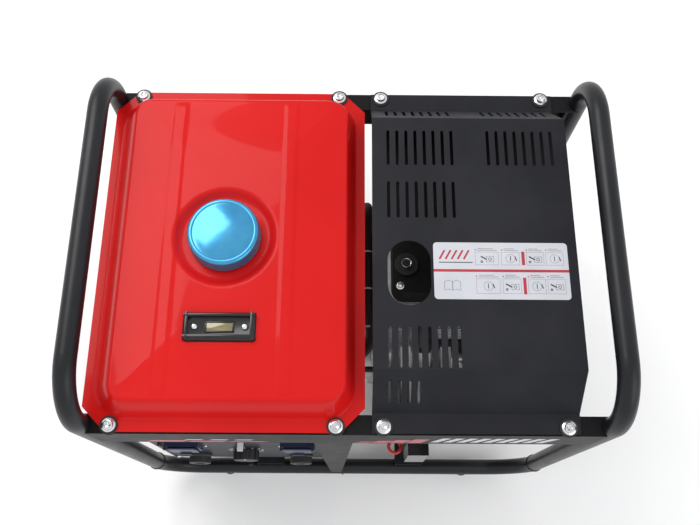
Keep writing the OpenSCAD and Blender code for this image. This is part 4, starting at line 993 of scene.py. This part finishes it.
def make_fuel_clamps():
    """Worm-drive clamps where the hose meets the tap, the filter and the pump."""
    tap_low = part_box("fuel_tap")[0]
    low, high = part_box("fuel_filter")
    x, y = (low[0] + high[0]) / 2, (low[1] + high[1]) / 2
    pump_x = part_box("injection_pump")[0][0]
    hose_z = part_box("fuel_hose")[0][2] + 5 * MM
    clamps = []
    spots = [((x, y, tap_low[2] - 5 * MM), (0, 0, 1)), ((x, y, high[2] + 5 * MM), (0, 0, 1)),
             ((x, y, low[2] - 5 * MM), (0, 0, 1)), ((pump_x - 6 * MM, y, hose_z), (1, 0, 0))]
    for place, direction in spots:
        clamps.append(lathe(ring_section(4.8 * MM, 5.7 * MM, -3 * MM, 3 * MM), place, direction, steps=28))
        screw = lathe(disc_section(2.2 * MM, -4 * MM, 4 * MM),
                      (place[0], place[1] - 7 * MM, place[2]), (1, 0, 0), steps=14)
        clamps.append(screw)
    settle(join(clamps), "hose_clamps", MACHINE, "zinc")


def make_battery_trim():
    """Six filler caps, a lid with a rounded edge, and a clamp on each post."""
    low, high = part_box("battery")
    top = touch("battery", ((low[0] + high[0]) / 2, (low[1] + high[1]) / 2, 1.0), (0, 0, -1))[2]
    lid = soft_box((low[0] - 1.5 * MM, low[1] - 1.5 * MM, top - 20 * MM),
                   (high[0] + 1.5 * MM, high[1] + 1.5 * MM,
                                                                       top + 0.8 * MM), 0.003, 3)
    settle(lid, "battery_lid", MACHINE, "black_plastic")
    caps = []
    for i in range(6):
        x = low[0] + (high[0] - low[0]) * (i + 0.5) / 6
        caps.append(lathe([(0, 0), (10 * MM, 0), (10 * MM, 2.4 * MM), (9 * MM, 3.2 * MM),
                           (2.5 * MM, 3.2 * MM),
                           (2.2 * MM, 2.4 * MM), (0, 2.4 * MM)], (x, (low[1] + high[1]) / 2, top), steps=28))
    settle(join(caps), "battery_caps", MACHINE, "red_plastic")
    posts = island_tops("battery", top + 4 * MM)
    clamps = []
    for x, y, r in posts:
        clamps.append(lathe([(r + 0.2 * MM, 0), (r + 4 * MM, 0), (r + 4.4 * MM, 5 * MM),
                             (r + 3.4 * MM, 6 * MM),
                             (r + 0.2 * MM, 6 * MM), (r + 0.2 * MM, 0)], (x, y, top + 1.4 * MM), steps=28))
        clamps.append(soft_box((x - 4 * MM, y - r - 15 * MM, top + 1.6 * MM),
                               (x + 4 * MM, y - r - 2 * MM, top + 6.6 * MM), 0.0008))
    if clamps:
        settle(join(clamps), "battery_clamps", MACHINE, "dull_steel")


def island_tops(node_name, above):
    """Round things that stand up past a height: their middles and radii."""
    points = [v.co for v in frame["nodes"][node_name].data.vertices if v.co.z > above]
    groups = []
    for point in points:
        for group in groups:
            if math.hypot(point.x - group[0].x, point.y - group[0].y) < 40 * MM:
                group.append(point)
                break
        else:
            groups.append([point])
    places = []
    for group in groups:
        xs, ys = [p.x for p in group], [p.y for p in group]
        places.append(((min(xs) + max(xs)) / 2, (min(ys) + max(ys)) / 2, (max(xs) - min(xs)) / 2))
    return places


# ---------------------------------------------------------------- control panel details
def make_panel_trim():
    """Voltmeter, lamps, plates, corner screws, knob scale and the sockets' collars."""
    low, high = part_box("control_panel")
    face_y = touch("control_panel", (low[0] + 30 * MM, -1.0, low[2] + 20 * MM), (0, 1, 0))[1]
    out = (0, -1, 0)
    z_top = high[2] - 3 * MM
    corners = [(low[0] + 9 * MM, low[2] + 9 * MM), (high[0] - 9 * MM, low[2] + 9 * MM),
               (low[0] + 9 * MM, z_top - 22 * MM), (high[0] - 9 * MM, z_top - 22 * MM)]
    screws = [pan_screw(4.2 * MM, (x, face_y, z), out, cross=False) for x, z in corners]
    for side in ("left", "right"):
        x, y, z = middle_of(side + "_socket_lid")
        screws += [pan_screw(2.6 * MM, (x + sx * 31 * MM, face_y, z - 25 * MM), out,
                             cross=False) for sx in (-1, 1)]
    settle(join(screws), "panel_screws", MACHINE, "zinc")

    knob = middle_of("current_knob")
    meter_x, meter_z = knob[0] + 2 * MM, z_top - 49 * MM
    rim = lathe([(0, 0), (27 * MM, 0), (27 * MM, 4 * MM), (25.5 * MM, 6 * MM), (23.5 * MM, 6 * MM),
                 (23 * MM, 3.4 * MM),
                 (0, 3.4 * MM)], (meter_x, face_y, meter_z), out, steps=48)
    settle(rim, "voltmeter_case", MACHINE, "gloss_black")
    dial = lathe(disc_section(22.8 * MM, 0, 0.5 * MM),
                 (meter_x, face_y - 3.4 * MM, meter_z), out, steps=48)
    settle(dial, "voltmeter_dial", MACHINE, "white_plastic")
    marks = []
    for i in range(9):
        turn = math.radians(-60 + 15 * i)
        marks.append(rod((meter_x + 15 * MM * math.sin(turn), face_y - 4.1 * MM,
                          meter_z - 8 * MM + 22 * MM * math.cos(turn)),
                         (meter_x + 17.5 * MM * math.sin(turn), face_y - 4.1 * MM,
                          meter_z - 8 * MM + 25 * MM * math.cos(turn)),
                         0.5 * MM))
    marks.append(rod((meter_x, face_y - 4.6 * MM, meter_z - 10 * MM),
                     (meter_x - 11 * MM, face_y - 4.6 * MM, meter_z + 12 * MM),
                     0.5 * MM))
    marks.append(lathe([(0, 0), (3.4 * MM, 0), (3 * MM, 1.4 * MM), (0, 1.6 * MM)],
                       (meter_x, face_y - 3.9 * MM, meter_z - 10 * MM), out, steps=20))
    settle(join(marks), "voltmeter_marks", MACHINE, "label_dark")

    for label, finish, dz in (("green", "green_lamp", 12 * MM), ("red", "red_plastic", -14 * MM)):
        place = (meter_x + 44 * MM, face_y, meter_z + dz)
        holder = lathe([(0, 0), (8 * MM, 0), (8 * MM, 2 * MM), (6.5 * MM, 3 * MM), (5.6 * MM, 3 * MM),
                        (5.6 * MM, 1 * MM),
                        (0, 1 * MM)], place, out, steps=28)
        settle(holder, label + "_lamp_holder", MACHINE, "zinc")
        lens = lathe([(0, 0.8 * MM), (5.4 * MM, 0.8 * MM), (5.4 * MM, 3.6 * MM), (4.2 * MM, 6 * MM),
                      (2.2 * MM, 7.2 * MM),
                      (0, 7.5 * MM)], place, out, steps=28)
        settle(lens, label + "_lamp_lens", MACHINE, finish)

    plate_x = high[0] - 38 * MM
    plate = soft_box((plate_x - 24 * MM, face_y - 0.6 * MM, meter_z - 22 * MM),
                     (plate_x + 24 * MM, face_y + 0.4 * MM,
                                                                               meter_z + 22 * MM), 0.0002)
    settle(plate, "rating_plate", MACHINE, "dull_steel")
    lines = [soft_box((plate_x - 20 * MM, face_y - 0.8 * MM, meter_z + dz * MM - 0.5 * MM),
                      (plate_x + (20 - 4 * (i % 3)) * MM, face_y - 0.5 * MM, meter_z + dz * MM + 0.5 * MM),
                      0.0001)
             for i, dz in enumerate((-16, -11, -6, -1, 4, 9, 15))]
    settle(join(lines), "rating_plate_print", MACHINE, "label_dark")

    ticks = []
    for i in range(11):
        turn = math.radians(-135 + 27 * i)
        inner, outer = 26 * MM, (32 if i % 5 == 0 else 30) * MM
        ticks.append(rod((knob[0] + inner * math.sin(turn), face_y - 0.3 * MM,
                          knob[2] + inner * math.cos(turn)),
                         (knob[0] + outer * math.sin(turn), face_y - 0.3 * MM,
                          knob[2] + outer * math.cos(turn)), 0.6 * MM))
    settle(join(ticks), "knob_scale", MACHINE, "white_plastic")
    pointer = soft_box((knob[0] - 0.8 * MM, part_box("current_knob")[0][1] - 0.4 * MM, knob[2] + 8 * MM),
                       (knob[0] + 0.8 * MM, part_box("current_knob")[0][1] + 0.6 * MM, knob[2] + 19 * MM),
                       0.0002)
    settle(pointer, "knob_pointer", "knob", "white_plastic")

    brass_low, brass_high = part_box("weld_sockets")
    collar_r = 18 * MM
    z = (brass_low[2] + brass_high[2]) / 2
    for label, x, finish in (("negative", brass_low[0] + collar_r, "black_plastic"),
                             ("positive", brass_high[0] - collar_r, "black_plastic")):
        collar = lathe([(9.4 * MM, -1 * MM), (collar_r + 3 * MM, -1 * MM), (collar_r + 3 * MM, 3 * MM),
                        (collar_r + 1.2 * MM, 5 * MM), (collar_r + 1.2 * MM, 15.4 * MM),
                        (collar_r - 0.6 * MM, 16.6 * MM),
                        (10.5 * MM, 16.6 * MM), (9.4 * MM, 15.6 * MM), (9.4 * MM, -1 * MM)], (x, face_y, z),
                        out, steps=48)
        settle(collar, label + "_collar", MACHINE, finish)

    key = middle_of("ignition_key")
    ring = lathe([(14.4 * MM, 0), (19 * MM, 0), (18.6 * MM, 1.6 * MM), (16 * MM, 2.2 * MM),
                  (14.4 * MM, 2 * MM),
                  (14.4 * MM, 0)], (key[0], face_y, key[2]), out, steps=40)
    settle(ring, "key_escutcheon", MACHINE, "zinc")


def rod(start, end, r):
    """A thin round bar between two points."""
    length = (Vector(end) - Vector(start)).length
    bar = lathe(disc_section(r, 0, length), start, Vector(end) - Vector(start), steps=12)
    return bar


SOFT_EDGES = {
    "base_beams": 0.8, "crankcase": 1.2, "cylinder_head": 0.5, "rocker_cover": 2.0, "fan_housing": 1.0,
    "recoil_cover": 0.8, "bell_housing": 1.0, "stator_housing": 0.8, "end_bracket": 1.0, "control_panel": 0.9,
    "battery_tray": 0.8, "battery": 1.6, "air_cleaner": 2.0, "muffler": 2.5, "starter_motor": 1.4,
    "injection_pump": 1.2, "vibration_mounts": 0.8, "charge_regulator": 0.8, "rectifier": 0.3,
    "fuel_tap": 0.4,
    "fuel_filter": 0.8, "tank_pan": 1.0, "rubber_feet": 1.2, "left_socket_lid": 0.8, "right_socket_lid": 0.8,
    "ac_sockets": 0.6, "weld_sockets": 0.5, "current_knob": 0.8, "ignition_key": 0.7, "breaker_toggle": 0.6,
    "rocker_plug": 0.8, "decompression_lever": 0.7, "recoil_handle": 2.0, "speed_lever": 0.5,
    "fuel_tap_lever": 0.8, "cap_plate": 0.4, "filler_neck": 0.3,
}


# ---------------------------------------------------------------- under the cover
def make_shade_sheet():
    """A black sheet over the muffler, with turned-down edges, put there as painted shade: it blocks the light
    seen through the cover's slots.
    """
    low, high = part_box("muffler")
    cover_low, cover_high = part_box("engine_cover")
    clearance, back_drop, front_drop = 6 * MM, 34 * MM, 8 * MM
    z = high[2] + clearance
    x0, x1 = cover_low[0] + 12 * MM, cover_high[0] + 18 * MM
    # The back edge reaches the rear rail and drops down so that the back ends of the slots also show painted
    # shade.
    y0, y1 = low[1] - 12 * MM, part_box("rear_top_rail")[0][1] - 0.6 * MM
    sheet = 1.5 * MM
    parts = [soft_box((x0, y0, z), (x1, y1, z + sheet), 0.0005),
             soft_box((x0, y1 - sheet, z - back_drop), (x1, y1, z + sheet), 0.0005),
             soft_box((x0, y0, z - front_drop), (x1, y0 + sheet, z + sheet), 0.0005)]
    settle(join(parts), "muffler_shade_sheet", MACHINE, "shade_black_paint")


def tube_along(points, r, rings=3):
    """A smooth tube through several points."""
    data = bpy.data.curves.new("run", "CURVE")
    data.dimensions = "3D"
    data.resolution_u = 10
    data.bevel_depth = r
    data.bevel_resolution = rings
    data.use_fill_caps = True
    spline = data.splines.new("BEZIER")
    spline.bezier_points.add(len(points) - 1)
    for bezier, place in zip(spline.bezier_points, points):
        bezier.co = place
        bezier.handle_left_type = bezier.handle_right_type = "AUTO"
    run = bpy.data.objects.new("run", data)
    bpy.context.scene.collection.objects.link(run)
    clear_selection()
    run.select_set(True)
    bpy.context.view_layer.objects.active = run
    bpy.ops.object.convert(target="MESH")
    return bpy.context.object


def make_gap_shade_loom():
    """A black loom from the control panel, under the gap beside the tank, to the starter motor: a dark tube
    put there as painted shade, so that the gap between tank and cover shows black.
    """
    panel_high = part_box("control_panel")[1]
    starter_low, starter_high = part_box("starter_motor")
    gap_x = (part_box("tank_shell")[1][0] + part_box("engine_cover")[0][0]) / 2 + 2.5 * MM
    z = panel_high[2] - 28 * MM
    r = 8.5 * MM
    path = [(panel_high[0] - 8 * MM, panel_high[1] - 1 * MM, z - 12 * MM),
            (panel_high[0] + 16 * MM, panel_high[1] + 8 * MM, z - 6 * MM),
            (gap_x, panel_high[1] + 34 * MM, z), (gap_x, -40 * MM, z), (gap_x, 50 * MM, z),
            (gap_x, starter_low[1] + 20 * MM, z - 12 * MM),
            (gap_x + 2 * MM, starter_low[1] + 38 * MM, z - 60 * MM),
            (starter_low[0] + 16 * MM, starter_high[1] - 32 * MM, starter_high[2] - 2 * MM)]
    # Black tube that paints the shade in the gap between tank and cover.
    settle(tube_along(path, r), "gap_shade_loom", MACHINE, "black_rubber", smooth=60)
    ties = [band_ring((gap_x, y * MM, z), (0, 1, 0), r) for y in (-80, -20, 40)]
    settle(join(ties), "loom_ties", MACHINE, "white_plastic")


def band_ring(place, direction, r):
    """A thin tie round a tube."""
    return lathe(ring_section(r, r + 0.9 * MM, -1.2 * MM, 1.2 * MM),
                 place, direction, steps=24)


def make_plug_ring():
    """The pale rim on the grip of the rocker plug."""
    low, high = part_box("rocker_plug")
    x, y = (low[0] + high[0]) / 2, (low[1] + high[1]) / 2
    ring = lathe([(5.6 * MM, -1.2 * MM), (7.3 * MM, -1.2 * MM), (7.3 * MM, 0.2 * MM), (6.6 * MM, 0.7 * MM),
                  (5.8 * MM, 0.3 * MM), (5.6 * MM, -1.2 * MM)], (x, y, high[2]), steps=36)
    settle(ring, "rocker_plug_rim", "rocker_plug", "bright_steel")


make_tank_top()
make_filler_cap()
make_gauge()
make_flange_bolts()
make_label()
make_rail_stripes()
make_frame_welds()
softened("engine_cover", 0.9 * MM, 2)
softened("front_top_rail", 1.4 * MM, 3)
softened("rear_top_rail", 1.4 * MM, 3)
softened("front_strut", 0.6 * MM, 2)
make_engine_bolts()
make_muffler_trim()
make_cleaner_trim()
make_fuel_clamps()
make_battery_trim()
make_panel_trim()
for soft_node, edge in SOFT_EDGES.items():
    softened(soft_node, edge * MM, 2)
make_shade_sheet()
make_gap_shade_loom()
make_plug_ring()
